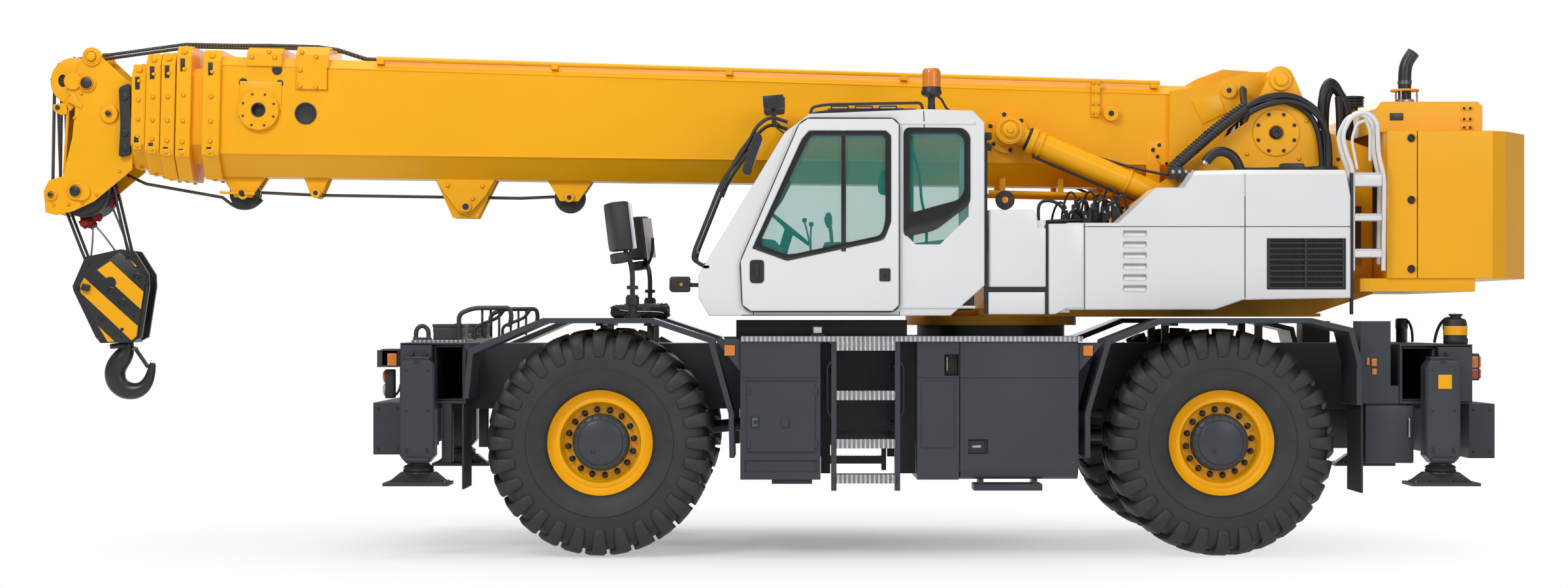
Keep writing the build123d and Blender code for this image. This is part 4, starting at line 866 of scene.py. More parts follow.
# %% Seat cushions
def fabric():
    f = Finish("seat fabric", (0.020, 0.024, 0.026), 0.85)
    x, y, z = f.axis("X"), f.axis("Y"), f.axis("Z")
    weave = (x + z).wave(900.0) * (y - z).wave(900.0)
    tone = f.noise(9.0, 4.0)
    f.feed(Base_Color=f.mix(f.band(weave + tone, 0.1, 1.2), (0.014, 0.017, 0.019), (0.045, 0.052, 0.055)),
           Roughness=0.8 + tone * 0.1)
    f.bump(weave, 0.0008, 0.5)
    return f.material


seat_fabric = fabric()
SEAT_Y = -0.95


def cushion(name, size, place, lean, power=4.0):
    """A crowned cushion with a piped seam."""
    piece = Piece(name, seat_fabric, flap_rubber)
    made = bmesh.ops.create_cube(piece.bm, size=2.0)
    bmesh.ops.subdivide_edges(piece.bm, edges=piece.bm.edges[:], cuts=9, use_grid_fill=True)
    turn = Matrix.Translation(place) @ Matrix.Rotation(math.radians(lean), 4, "Y")
    half = Vector(size) / 2
    for v in piece.bm.verts:
        u = v.co.copy()
        far = (abs(u.x) ** power + abs(u.y) ** power + abs(u.z) ** power) ** (1 / power)
        u = u / far
        dip = 0.06 * math.exp(-6 * min(abs(abs(u.y) - 0.5), 1.0) ** 2) if abs(u.z) > 0.5 else 0.0
        v.co = turn @ Vector((u.x * half.x, u.y * half.y, u.z * half.z * (1.0 - dip)))
    piece.grab(piece.bm.faces[:], 0)
    seam = []
    for n in range(40):
        t = 2 * math.pi * n / 40
        c, s = math.cos(t), math.sin(t)
        far = (abs(c) ** power + abs(s) ** power) ** (1 / power)
        seam.append(turn @ Vector((c / far * half.x * 0.985, s / far * half.y * 0.985, half.z * 0.25)))
    piece.tube(seam + [seam[0]], 0.005, 1, smooth=False)
    made = piece.done("upper", "black_plastic", sharp=80)
    return made


cushion("seat_cushion", (0.50, 0.50, 0.15), (0.76, SEAT_Y, 2.40), -6)
cushion("seat_back", (0.16, 0.48, 0.66), (1.03, SEAT_Y, 2.78), 12)
cushion("seat_headrest", (0.12, 0.28, 0.22), (0.92, SEAT_Y, 3.09), 8, 3.0)
print("cushions", MADE[-3:])

# %% Column, wheel, console and levers
cabin = Piece("cab_interior_dressed", plastic, steel, hose_rubber)
FLOOR = 2.021
cabin.block((0.50, -1.22, FLOOR), (1.05, -0.68, FLOOR + 0.05), 2, 0.01)
cabin.slab(((0.58, FLOOR), (1.0, FLOOR), (0.92, FLOOR + 0.28), (0.64, FLOOR + 0.28)), SEAT_Y - 0.17,
           SEAT_Y + 0.17, 0, 0.012)
for side in (-1, 1):
    y = SEAT_Y + side * 0.325
    cabin.block((0.40, y - 0.055, FLOOR + 0.35), (0.98, y + 0.055, FLOOR + 0.56), 0, 0.02)
    cabin.block((0.62, y - 0.04, FLOOR), (0.84, y + 0.04, FLOOR + 0.36), 0, 0.01)
    lever = [(0.47, y, FLOOR + 0.56), (0.465, y, FLOOR + 0.66), (0.45, y, FLOOR + 0.72)]
    cabin.tube(lever, 0.009, 1)
    cabin.turned(((0, 0), (0.016, 0.004), (0.024, 0.035), (0.027, 0.07), (0.020, 0.10), (0, 0.108)),
                 (0.452, y, FLOOR + 0.70),
                 (-0.2, 0, 1), 0, 20)
for x, z in ((0.241, 2.778), (0.297, 2.745)):
    cabin.tube([(0.30, -1.05, 2.45), (0.285, -1.05, 2.60), (x, -1.05, z - 0.02)], 0.008, 1)
    cabin.turned(((0, 0), (0.014, 0.004), (0.021, 0.018), (0.018, 0.036), (0, 0.044)),
                 (x, -1.05, z - 0.03), (0, 0, 1), 0, 18)
cabin.block((0.12, -1.18, FLOOR), (0.42, -0.72, FLOOR + 0.43), 0, 0.04)
cabin.slab(((-0.46, FLOOR), (-0.05, FLOOR), (0.07, 2.50), (0.0, 2.60), (-0.16, 2.62), (-0.42, 2.38)),
           -1.25, -0.62, 0, 0.03)
cabin.tube([(-0.02, SEAT_Y, 2.20), (0.04, SEAT_Y, 2.45), (0.115, SEAT_Y, 2.695)], 0.042, 0)
axle_dir = Vector((0.249, 0, 0.305)).normalized()
rim_line = []
for n in range(33):
    t = 2 * math.pi * n / 32
    across = Vector((0.305, 0, -0.249)).normalized()
    rim_line.append(Vector((0.12, SEAT_Y, 2.70)) + across * 0.197 * math.cos(t) + Vector((0, 1, 0))
                    * 0.197 * math.sin(t))
cabin.tube(rim_line, 0.014, 0, smooth=False)
for t in (0.5, 2.6, 4.7):
    spot = Vector((0.12, SEAT_Y, 2.70)) + across * 0.19 * math.cos(t) + Vector((0, 1,
            0)) * 0.19 * math.sin(t)
    cabin.tube([Vector((0.11, SEAT_Y, 2.685)), spot], 0.011, 0, smooth=False)
cabin.turned(((0, 0), (0.055, 0), (0.05, 0.03), (0.03, 0.042), (0, 0.044)), (0.105, SEAT_Y, 2.675),
             axle_dir, 0, 28)
cabin.bent([(0.090, -0.62, 3.17), (0.032, -0.62, 3.162), (0.128, -0.62, 3.114), (0.05, -0.62, 2.96),
            (-0.048, -0.62, 2.826)], 0.012, 0, 0.04)
cabin.block((1.12, -0.64, 2.60), (1.17, -0.60, 3.50), 0, 0.01)
cabin.block((1.45, -1.30, FLOOR), (1.64, -0.62, 2.60), 0, 0.03)
cabin.tube([(1.15, -0.66, 3.40), (1.24, -0.68, 3.15), (1.20, -0.70, 2.95), (1.30, -0.72, 2.75),
            (1.26, -0.72, 2.45)], 0.012, 2)
cabin.done("upper", "black_plastic", stands_for=["cab_interior"])
print("cab interior", MADE[-1])

# %% [markdown]
# The boom leans up a little over one degree, so its dressing is set out along the boom: a station, a width
# and a height above the middle line. One helper turns those three numbers into a point.

# %% Boom bolts, ear windows and hole linings
BOOM_FOOT = Vector((4.264, 0, 3.970))
BOOM_TURN = Matrix.Rotation(math.radians(1.24), 4, "Y")


def on_boom(x, y, up):
    """A point from its station, its width and its height above the boom's middle line."""
    return BOOM_FOOT + BOOM_TURN @ Vector((x - BOOM_FOOT.x, y, up - 0.470))


FLANGE = (-4.430, 0.053)
COLLARS = (  # body, front, rear, outer half width, rise, drop
    ("boom", -4.908, -4.760, 0.400, 0.560, 0.540),
    ("tele_1", -5.138, -5.014, 0.385, 0.590, 0.560),
    ("tele_2", -5.273, -5.153, 0.365, 0.530, 0.545),
    ("tele_3", -5.408, -5.283, 0.345, 0.520, 0.510),
    ("tele_4", -5.535, -5.415, 0.325, 0.430, 0.460),
)
for body, front, rear, half, rise, drop in COLLARS:
    ring = Piece(f"collar_fittings_{body}", yellow, flap_rubber)
    middle = (front + rear) / 2
    for side in (-1, 1):
        face = side * half
        for share in (0.66, 0.28, -0.10, -0.42):
            ring.bolts([on_boom(middle, face, share * rise if share > 0 else share * drop)], (0, side, 0),
                       0.016, 0)
        low = on_boom(middle, face, -0.60 * drop)
        ring.block(low - Vector((0.035, 0.012, 0.03)), low + Vector((0.035, 0.012, 0.03)), 0, 0.006)
        ring.bolts([on_boom(middle, face + side * 0.012, -0.60 * drop)], (0, side, 0), 0.013, 0)
        # windows cut in the ears at the top and at the foot of each collar
        for up, tall in ((rise - 0.165, 0.11), (-drop + 0.235, 0.06)):
            at = on_boom(middle - 0.012, face, up)
            ring.block(at - Vector((0.020, 0.004, tall / 2)), at + Vector((0.020, 0.004, tall / 2)), 1,
                       0.003)
        ring.rod(on_boom(middle, face - side * 0.10, rise - 0.045),
                 on_boom(middle, face + side * 0.006, rise - 0.045), 0.026, 0)
    for y in (-0.16, 0.16):
        ring.bolts([on_boom(middle, y, rise)], (0, 0, 1), 0.016, 0)
        ring.bolts([on_boom(middle, y, -drop)], (0, 0, -1), 0.016, 0)
    ring.done(body, "yellow_paint")
print("collar fittings", len(COLLARS))

base = Piece("boom_side_fittings", yellow, flap_rubber, cast)
for side in (-1, 1):
    face = side * 0.396
    base.bolts([tuple(on_boom(x, face, up)) for x, _, up in ring_of(0.142, 8, FLANGE, 0.0, 0.39)],
               (0, side, 0), 0.010, 2, False)
    base.turned(((0.050, 0), (0.062, 0), (0.062, 0.006), (0.050, 0.006)),
                on_boom(FLANGE[0], face, FLANGE[1]), (0, side, 0), 1, 40)
    base.turned(((0.0, -0.05), (0.054, -0.05), (0.054, 0.004), (0.050, 0.004), (0.050, -0.045),
                 (0, -0.045)),
                on_boom(FLANGE[0], face, FLANGE[1]), (0, side, 0), 1, 40)
    base.turned(((0.080, 0), (0.094, 0), (0.094, 0.008), (0.080, 0.008)),
                on_boom(-4.030, side * 0.350, 0.034), (0, side, 0), 1, 48)
    base.turned(((0, -0.025), (0.0835, -0.025), (0.0835, -0.010), (0.070, -0.014), (0, -0.014)),
                on_boom(-4.030, side * 0.350, 0.034),
                (0, side, 0), 1, 40)
    for x, up, size in ((-4.572, 0.288, 0.038), (-4.284, 0.402, 0.044), (-4.257, 0.288, 0.030),
                        (-4.583, 0.000, 0.024)):
        base.turned(((0, 0), (size, 0), (size, 0.003), (size - 0.006, 0.004), (0, 0.003)),
                    on_boom(x, side * 0.350, up),
                    (0, side, 0), 1, 20)
    plate = [on_boom(x, 0, up) for x, up in ((-4.60, 0.30), (-4.24, 0.30), (-4.24, 0.10), (-4.60, 0.10))]
    base.slab([(p.x, p.z) for p in plate], min(side * 0.349, side * 0.358),
              max(side * 0.349, side * 0.358), 0, 0.003)
    base.bolts([on_boom(x, side * 0.374, up) for x, up in ((-4.070, 0.555), (-3.944, 0.520),
            (-4.080, 0.262), (-3.943, 0.257),
                (-4.080, 0.40), (-4.498, 0.505), (-4.350, 0.555), (-4.30, 0.505))], (0, side, 0), 0.016, 0)
    for x in (2.726, 2.770):
        base.bolts([on_boom(x, side * 0.380, up) for up in (0.18, 0.26, 0.36, 0.44)], (0, side, 0), 0.013,
                   0)
    base.turned(((0, 0), (0.024, 0), (0.024, 0.004), (0, 0.004)), on_boom(2.880, side * 0.410, 0.18),
                (0, side, 0), 1, 24)
    base.turned(((0, 0), (0.022, 0), (0.022, 0.004), (0, 0.004)), on_boom(3.880, side * 0.440, 0.395),
                (0, side, 0), 1, 24)
    for x, half, depth in ((-4.60, 0.19, 0.150), (-3.97, 0.11, 0.130), (-1.77, 0.20, 0.142)):
        up = -(1.030 - (x + 4.78) / 8.58 * 0.160) / 2 - depth
        base.rod(on_boom(x, side * 0.118, up), on_boom(x, side * 0.134, up), 0.044, 0)
        base.turned(((0, 0), (0.020, 0), (0.020, 0.004), (0, 0.004)), on_boom(x, side * 0.134, up),
                    (0, side, 0), 1, 20)
arm = [on_boom(x, 0, up) for x, up in ((-4.80, -0.640), (-4.44, -0.648), (-4.44, -0.668), (-4.80, -0.662))]
base.slab([(p.x, p.z) for p in arm], -0.142, -0.128, 0, 0.004)
base.bolts([on_boom(-4.47, -0.142, -0.658), on_boom(-4.61, -0.142, -0.652)], (0, -1, 0), 0.018, 2)
foot = [on_boom(x, 0, up) for x, up in ((3.56, 0.30), (3.80, 0.36), (3.86, 0.20), (3.66, 0.10))]
base.slab([(p.x, p.z) for p in foot], -0.430, -0.419, 0, 0.004)
base.slab([(p.x, p.z) for p in foot], 0.419, 0.430, 0, 0.004)
base.done("boom", "yellow_paint")
print("boom side", MADE[-1])

# %% [markdown]
# A strip of weld runs where plates meet. It is a thin bead swept along the seam: a small thing, but it
# tells the eye that the boom is folded from plate.

# %% Weld beads and the lug under the boom
welds = Piece("boom_welds", yellow)
for side in (-1, 1):
    for start, end, up_a, up_b in ((-4.75, 3.70, 0.434, 0.354), (-4.75, 3.70, -0.324, -0.244)):
        run = [on_boom(start + (end - start) * n / 6, side * 0.3505, up_a + (up_b - up_a)
                       * n / 6) for n in range(7)]
        welds.tube(run, 0.006, 0, smooth=False, sides=2)
    for x in (-4.116, -3.844):
        welds.tube([on_boom(x, side * 0.352, 0.24), on_boom(x, side * 0.352, 0.47)], 0.006, 0,
                   smooth=False, sides=2)
    seam = [on_boom(-4.430 + 0.180 * math.cos(t / 5 * math.pi), side * 0.352, 0.053 + 0.180
                    * math.sin(t / 5 * math.pi)) for t in range(11)]
    welds.tube(seam, 0.006, 0, smooth=False, sides=2)
welds.done("boom", "yellow_paint")

lug = Piece("jib_lug", yellow, cast)
for y in (-0.16, 0.13):
    shape = [on_boom(x, 0, up) for x, up in ((-2.94, -0.475), (-2.40, -0.465), (-2.49, -0.63),
                                             (-2.60, -0.76), (-2.66, -0.80),
                                             (-2.73, -0.77), (-2.86, -0.60))]
    lug.slab([(p.x, p.z) for p in shape], y, y + 0.03, 0, 0.005)
lug.rod(on_boom(-2.66, -0.185, -0.73), on_boom(-2.66, 0.185, -0.73), 0.05, 0)
lug.turned(((0, 0), (0.028, 0), (0.028, 0.005), (0, 0.006)), on_boom(-2.66, -0.185, -0.73), (0, -1, 0), 1,
           24)
lug.bolts([on_boom(x, -0.162, up) for x, up in ((-2.82, -0.55), (-2.52, -0.55), (-2.60, -0.66))],
          (0, -1, 0), 0.015, 0)
lug.done("boom", "yellow_paint")
print("boom welds and lug", MADE[-2:])

# %% [markdown]
# The head's two cheeks carry bosses with dark pin ends, a sheave cover in front and the nose lug below.

# %% Boom head fittings
HEAD_FACE = 0.250
head = Piece("head_fittings", yellow, flap_rubber, cast, red_lens, black)
for side in (-1, 1):
    y = side * HEAD_FACE
    for x, z, boss, pin, tint in ((-5.936, 3.980, 0.074, 0.053, 2), (-5.747, 3.718, 0.078, 0.028, 2),
                                  (-6.033, 3.051, 0.078, 0.050, 2),
                                  (-5.898, 4.209, 0.066, 0.040, 0), (-6.245, 3.019, 0.050, 0.026, 2)):
        head.turned(((0, 0), (boss, 0), (boss, 0.022), (boss - 0.008, 0.030), (pin + 0.006, 0.030),
                     (pin + 0.004, 0.022),
                     (pin, 0.022), (pin, 0.044), (pin - 0.006, 0.050), (0, 0.050)), (x, y, z),
                     (0, side, 0), 0, 40)
        head.turned(((0, 0.0), (pin - 0.004, 0.0), (pin - 0.004, 0.0545), (pin - 0.010, 0.058),
                     (0, 0.058)), (x, y, z), (0, side, 0),
                    tint, 32)
    head.bolts([(x, y, z) for x, z in ((-6.10, 2.935), (-5.98, 2.945), (-5.86, 3.02), (-5.66, 3.22),
                                       (-6.02, 4.05), (-5.99, 3.89),
                                       (-6.23, 2.93), (-6.05, 3.68))], (0, side, 0), 0.012, 0)
    head.slab(((-6.120, 3.830), (-5.990, 3.760), (-5.975, 3.790), (-6.060, 3.900)),
              min(y, y + side * 0.012), max(y, y + side * 0.012),
              0, 0.004)
    head.slab(rounded(((-5.655, 3.34), (-5.560, 3.36), (-5.552, 3.62), (-5.562, 3.98), (-5.655, 3.94),
                       (-5.640, 3.62)), 0.03),
              min(side * 0.20, side * 0.31), max(side * 0.20, side * 0.31), 1, 0.012)
    for z in (3.42, 3.55, 3.86):
        head.turned(((0, 0), (0.030, 0), (0.030, 0.012), (0, 0.016)), (-5.60, side * 0.31, z),
                    (0, side, 0), 4, 20)
COVER = []
for n in range(25):
    t = math.radians(50 + n * 200 / 24)
    COVER.append((-6.060 + 0.205 * math.cos(t), 4.000 + 0.205 * math.sin(t)))
COVER += [(-6.100, 3.740), (-6.060, 3.780)]
for y in (-0.222, 0.210):
    head.slab(COVER, y, y + 0.012, 0, 0.003, [[(-6.16 + 0.038 * math.cos(a / 2), 4.005 + 0.055
            * math.sin(a / 2)) for a in range(12)]])
for n in range(5, 21, 5):
    head.rod((COVER[n][0] * 0.998 - 0.012, -0.212, COVER[n][1]),
             (COVER[n][0] * 0.998 - 0.012, 0.212, COVER[n][1]), 0.009, 2)
head.slab(((-6.135, 3.76), (-6.110, 3.76), (-6.140, 3.20), (-6.165, 3.20)), -0.20, 0.20, 0, 0.004)
head.rod((-6.205, -0.23, 3.775), (-6.205, 0.23, 3.775), 0.020, 2)
for y in (-0.215, 0.185):
    head.slab(rounded(((-6.250, 3.80), (-6.130, 3.82), (-6.120, 3.72), (-6.180, 3.71), (-6.240, 3.745)),
                      0.015), y, y + 0.03, 0, 0.004)
head.done("tele_4", "yellow_paint")
print("head fittings", MADE[-1])

# %% [markdown]
# Wire rope is six strands laid round a core. Its look comes from the finish: bands that run along the rope
# # and slant across it. Ropes that cross the telescopes are cut at each joint.

# %% Wire ropes along the boom
def laid_rope():
    f = Finish("greased wire rope", (0.085, 0.083, 0.080), 0.42, 0.7)
    x, y, z = f.axis("X"), f.axis("Y"), f.axis("Z")
    lay = (x + z + y * 1.3).wave(260.0)
    grease = f.noise(14.0, 4.0)
    f.feed(Base_Color=f.mix(f.band(lay + grease, -0.7, 1.3), (0.022, 0.021, 0.020), (0.150, 0.147, 0.142)),
           Roughness=0.34 + grease * 0.2)
    f.bump(lay, 0.004, 0.7)
    return f.material


rope_finish = laid_rope()
ROPE_R = 0.014
ROPE_TOP = ((3.56, 0.445), (3.40, 0.400), (-3.55, 0.535), (-3.80, 0.610), (-3.98, 0.632), (-4.39, 0.634),
            (-4.70, 0.628))
LANES = (-0.12, 0.12)
RUNS = (("boom", "tele_1", -4.80, -5.00), ("tele_1", "tele_2", -5.08, -5.20),
        ("tele_2", "tele_3", -5.22, -5.34),
        ("tele_3", "tele_4", -5.36, -5.47))


def rope_level(x):
    """Height of the upper rope above the middle line: level over the first collars, then down to the head."""
    return 0.628 if x > -5.12 else 0.628 + (x + 5.12) * 0.16


def under_level(x):
    """Height of the lower rope, which runs under the collars up to the head."""
    return -0.700 - (x + 4.73) * 0.155


top_rope = Piece("top_ropes", rope_finish)
for y in LANES:
    top_rope.tube([on_boom(x, y, up) for x, up in ROPE_TOP] + [on_boom(-4.80, y, 0.628)], ROPE_R, 0,
                  smooth=False)
top_rope.tube([on_boom(-4.80, 0, under_level(-4.80)), on_boom(-4.70, 0, -0.772), on_boom(-4.62, 0, -0.790),
               on_boom(-4.52, 0, -0.774),
               on_boom(-4.455, 0, -0.700)], ROPE_R, 0)
top_rope.tube([on_boom(-4.46, 0, -0.640), on_boom(-3.97, 0, -0.652), on_boom(-2.2, 0, -0.640),
               on_boom(-1.90, 0, -0.62)], ROPE_R, 0,
              smooth=False)
top_rope.done("boom", "steel")
for (a, b, start, end), (_, _, after, _) in zip(RUNS, RUNS[1:] + (("", "", -5.47, 0),)):
    run = Piece(f"ropes_{a}_{b}", rope_finish)
    stations = [start + (end - start) * n / 4 for n in range(5)] + [after]
    for y in LANES:
        run.tube([on_boom(x, y, rope_level(x)) for x in stations], ROPE_R, 0, smooth=False)
    run.tube([on_boom(x, 0, under_level(x)) for x in stations], ROPE_R, 0, smooth=False)
    run.done((a, b), "steel", span=(on_boom(start, 0, 0), on_boom(end, 0, 0)))
head_rope = Piece("head_ropes", rope_finish)
for y in LANES:
    over = [(-6.060 + 0.198 * math.cos(t), y, 4.000 + 0.198 * math.sin(t)) for t in (1.75, 2.1, 2.5, 2.9,
            3.25)]
    head_rope.tube([on_boom(-5.47, y, rope_level(-5.47)), *over, (-6.262, y, 3.70), (-6.272, y, 3.10)],
                   ROPE_R, 0, smooth=False)
    head_rope.tube([(-6.225, y, 3.76), (-6.215, y, 3.42), (-6.205, y, 3.12)], ROPE_R * 0.8, 0, smooth=False)
head_rope.tube([on_boom(-5.47, 0, under_level(-5.47)), (-5.66, 0, 3.205), (-5.84, 0, 3.22)], ROPE_R, 0,
               smooth=False)
head_rope.done("tele_4", "steel")
drum_rope = Piece("drum_ropes", rope_finish)
for y in (-0.14, 0.10):
    drum_rope.tube([(4.170, y, 3.985), (4.085, y, 3.965), (4.040, y, 3.880), (4.030, y, 3.55)], ROPE_R, 0)
drum_rope.done("upper", "steel")
print("ropes", MADE[-7:])

# %% [markdown]
# Four knots of red cloth hang at the head, where the sling chains for the hook's weight switch are tied.
# Each knot is a cluster of crumpled lobes: spheres pushed in and out by layered sine waves.

# %% Red cloth knots and their cords
def cloth():
    f = Finish("red cloth", (0.30, 0.006, 0.010), 0.8)
    fold = f.noise(26.0, 5.0)
    f.feed(Base_Color=f.mix(f.band(fold, 0.3, 0.7), (0.12, 0.002, 0.006), (0.42, 0.012, 0.018)),
           Roughness=0.7 + fold * 0.2)
    f.bump(fold, 0.006, 0.8)
    return f.material


red_cloth = cloth()
dice = random.Random(14)


def knot(piece, x, z, count):
    for n in range(count):
        centre = Vector((x + dice.uniform(-0.06, 0.06), dice.uniform(-0.10, 0.06), z
                         + dice.uniform(-0.07, 0.07)))
        made = bmesh.ops.create_icosphere(piece.bm, subdivisions=3, radius=dice.uniform(0.032, 0.052))
        phase = dice.uniform(0, 6)
        for v in made["verts"]:
            u = v.co
            crumple = 1 + 0.22 * math.sin(u.x * 130 + phase) * math.sin(u.z * 110) + 0.16 * math.sin(u.y
                    * 150 + phase)
            v.co = centre + Vector((u.x, u.y, u.z * 0.8)) * crumple
        piece.grab({f for v in made["verts"] for f in v.link_faces}, 0)


hanging_knot = Piece("red_knot_hanging", red_cloth, rope_finish)
knot(hanging_knot, -5.975, 2.820, 8)
hanging_knot.tube([(-5.95, -0.03, 2.87), (-5.93, -0.03, 2.95), (-5.92, -0.03, 3.02)], 0.012, 1)
hanging_knot.done("hook_block", "", sharp=80)
knots = Piece("red_knots", red_cloth, rope_finish)
knot(knots, -5.830, 3.020, 5)
knot(knots, -5.800, 3.130, 4)
knots.tube([(-5.82, -0.03, 3.10), (-5.83, -0.03, 3.20), (-5.84, -0.03, 3.26)], 0.012, 1)
knots.done("tele_4", "", sharp=80)
print("knots", MADE[-2:])

# %% [markdown]
# The hook block's side plates are painted with three slanted yellow stripes. Each stripe is a thin plate
# of its own outline, so its edges stay sharp at any distance; bolts and pin ends sit on top.

# %% Hook block: plates, stripes, pins and latch
block = Piece("hook_block_dressing", black, yellow, cast, steel)
PLATE = ((-6.029, 2.238), (-5.994, 2.311), (-5.683, 2.533), (-5.451, 2.322), (-5.525, 1.795),
         (-5.578, 1.752), (-5.788, 1.741),
         (-5.868, 1.879), (-6.026, 2.174))
STRIPES = (
    ((-5.876, 2.373), (-5.762, 2.449), (-5.475, 2.183), (-5.498, 2.032)),
    ((-6.022, 2.243), (-5.989, 2.305), (-5.525, 1.887), (-5.535, 1.800), (-5.578, 1.762), (-6.019, 2.176)),
    ((-5.866, 1.885), (-5.725, 1.752), (-5.784, 1.749)),
    ((-5.600, 2.470), (-5.585, 2.455), (-5.530, 2.405), (-5.545, 2.402)),
)
BLOCK_FACE = 0.150
PLATE_THICK = 0.014


def skin(outline, side, inner, outer, finish, edge):
    """A thin plate on one side of the block, between two distances from its middle."""
    levels = sorted((side * inner, side * outer))
    block.slab(outline, *levels, finish, edge)


for side in (-1, 1):
    skin(PLATE, side, BLOCK_FACE, BLOCK_FACE + PLATE_THICK, 0, 0.004)
    for stripe in STRIPES:
        skin(stripe, side, BLOCK_FACE + 0.012, BLOCK_FACE + 0.0155, 1, 0.0)
    face = side * (BLOCK_FACE + PLATE_THICK)
    for x, z, r in ((-5.527, 2.312, 0.030), (-5.752, 2.187, 0.034), (-5.654, 2.085, 0.034),
                    (-5.8465, 1.946, 0.022)):
        block.turned(((0, 0), (r * 1.2, 0), (r * 1.2, 0.006), (r, 0.010), (r * 0.8, 0.010),
                      (r * 0.8, 0.004), (r * 0.55, 0.004),
                      (r * 0.55, 0.012), (0, 0.013)), (x, face, z), (0, side, 0), 0, 28)
    block.bolts([(x, face, z) for x, z in ((-5.72, 1.826), (-5.667, 1.789), (-5.563, 1.975),
                                           (-5.66, 1.858), (-5.62, 2.478))],
                (0, side, 0), 0.011, 2)
    block.bolts([(x, side * 0.150, z) for x, z in ((-5.959, 2.428), (-5.56, 2.50), (-5.452, 2.255),
            (-6.055, 2.215))], (0, side, 0),
                0.014, 2)
    block.block((-6.005, min(face, face + side * 0.05), 2.190),
                (-5.935, max(face, face + side * 0.05), 2.250), 2, 0.012,
                Matrix.Rotation(0.25, 4, "Y"))
block.tube([(-5.955, -0.10, 2.43), (-5.92, -0.12, 2.62), (-5.94, -0.06, 2.76)], 0.008, 3)
block.tube([(-5.72, -0.06, 2.50), (-5.80, -0.09, 2.64), (-5.93, -0.05, 2.77)], 0.008, 3)
block.tube([(-5.64, 0.04, 2.52), (-5.71, 0.02, 2.75), (-5.80, -0.02, 2.96)], 0.010, 3)
block.done("hook_block", "black_paint")

# centre line of the hook: station, height, radius of its section
HOOK_LINE = ((-5.662, 1.760, 0.060), (-5.662, 1.690, 0.068), (-5.672, 1.645, 0.078),
             (-5.705, 1.600, 0.088), (-5.748, 1.545, 0.090),
             (-5.768, 1.475, 0.092), (-5.752, 1.400, 0.090), (-5.705, 1.345, 0.084),
             (-5.640, 1.318, 0.076), (-5.570, 1.320, 0.068),
             (-5.512, 1.350, 0.058), (-5.472, 1.405, 0.048), (-5.450, 1.470, 0.040),
             (-5.438, 1.530, 0.033), (-5.432, 1.565, 0.024))
forging = Piece("hook_forging", black, cast, steel)
forging.tube([(x, 0, z) for x, z, _ in HOOK_LINE], 0.1, 0, sides=6, swell=[r * 10 for _, _, r in HOOK_LINE])
for v in forging.bm.verts:
    v.co.y *= 0.80
forging.turned(((0, 0), (0.085, 0), (0.090, 0.010), (0.090, 0.035), (0.080, 0.045), (0, 0.045)),
               (-5.714, 0, 1.695), (-0.1, 0, 1), 1, 36)
for y in (-0.018, 0.018):
    forging.bent([(-5.585, y, 1.690), (-5.530, y, 1.610), (-5.478, y, 1.535)], 0.014, 1, 0.03)
forging.rod((-5.590, -0.055, 1.690), (-5.590, 0.055, 1.690), 0.018, 2)
forging.block((-5.495, -0.035, 1.525), (-5.465, 0.035, 1.555), 1, 0.008, Matrix.Rotation(0.9, 4, "Y"))
forging.done("hook", "steel", sharp=60, stands_for=["hook"])
print("hook block", MADE[-2:])

# %% [markdown]
# White panels hang on the machinery housing with dark gaps between them. The gaps are strips of black set
# back in the grooves, and the louvres get slanted slats, so that each shows one thin dark line.

# %% Housing panels, gaps, louvres and grille
panels = Piece("housing_panels", white)
gaps = Piece("housing_gaps", flap_rubber, black)
SMALL_PANEL = ((1.763, 2.210), (2.222, 2.210), (2.222, 2.695), (2.158, 2.697), (2.150, 2.800),
               (2.120, 2.843), (1.763, 2.843))
FRONT_PANEL = ((2.246, 1.985), (2.300, 1.985), (2.398, 2.034), (2.534, 2.034), (2.534, 2.730),
               (2.246, 2.730))
panels.slab(SMALL_PANEL, -1.352, -1.325, 0, 0.010)
panels.slab(((1.750, 1.985), (2.216, 1.985), (2.216, 2.168), (1.750, 2.168)), -1.352, -1.320, 0, 0.008)
panels.slab(FRONT_PANEL, -1.353, -1.300, 0, 0.010)
panels.block((1.80, -1.32, 2.20), (2.09, -0.95, 2.838), 0, 0.012)
for n in range(6):
    z = 2.180 + n * 0.090
    panels.block((2.863, -1.3475, z - 0.012), (3.047, -1.338, z + 0.024), 0, 0.002,
                 Matrix.Rotation(math.radians(-14), 4, "X"))
panels.mirror().done("upper", "white_paint")

gaps.block((1.725, -1.330, 1.990), (2.245, -1.310, 2.215), 0, 0.0)
gaps.block((2.214, -1.335, 1.990), (2.250, -1.300, 2.720), 0, 0.0)
gaps.block((2.533, -1.3475, 2.030), (2.549, -1.340, 2.734), 0, 0.0)
gaps.block((3.857, -1.3465, 2.125), (3.863, -1.343, 2.955), 0, 0.0)
gaps.block((2.560, -1.3480, 2.704), (4.726, -1.345, 2.709), 0, 0.0)
gaps.block((4.730, -1.345, 1.985), (4.752, -1.290, 3.150), 0, 0.004)
for n in range(38):
    x = 4.050 + n * 0.0170
    gaps.block((x, -1.335, 2.196), (x + 0.004, -1.327, 2.604), 1, 0.0)
for n in range(22):
    z = 2.202 + n * 0.0185
    gaps.block((4.046, -1.337, z), (4.684, -1.331, z + 0.005), 1, 0.0)
gaps.mirror()
gaps.block((1.716, -1.345, 1.990), (1.742, -1.300, 3.40), 0, 0.0)
gaps.done("upper", "black_plastic")
print("housing", MADE[-2:])

# %% [markdown]
# Tubes make the access ladder: two hoops over three toothed steps, on each side.

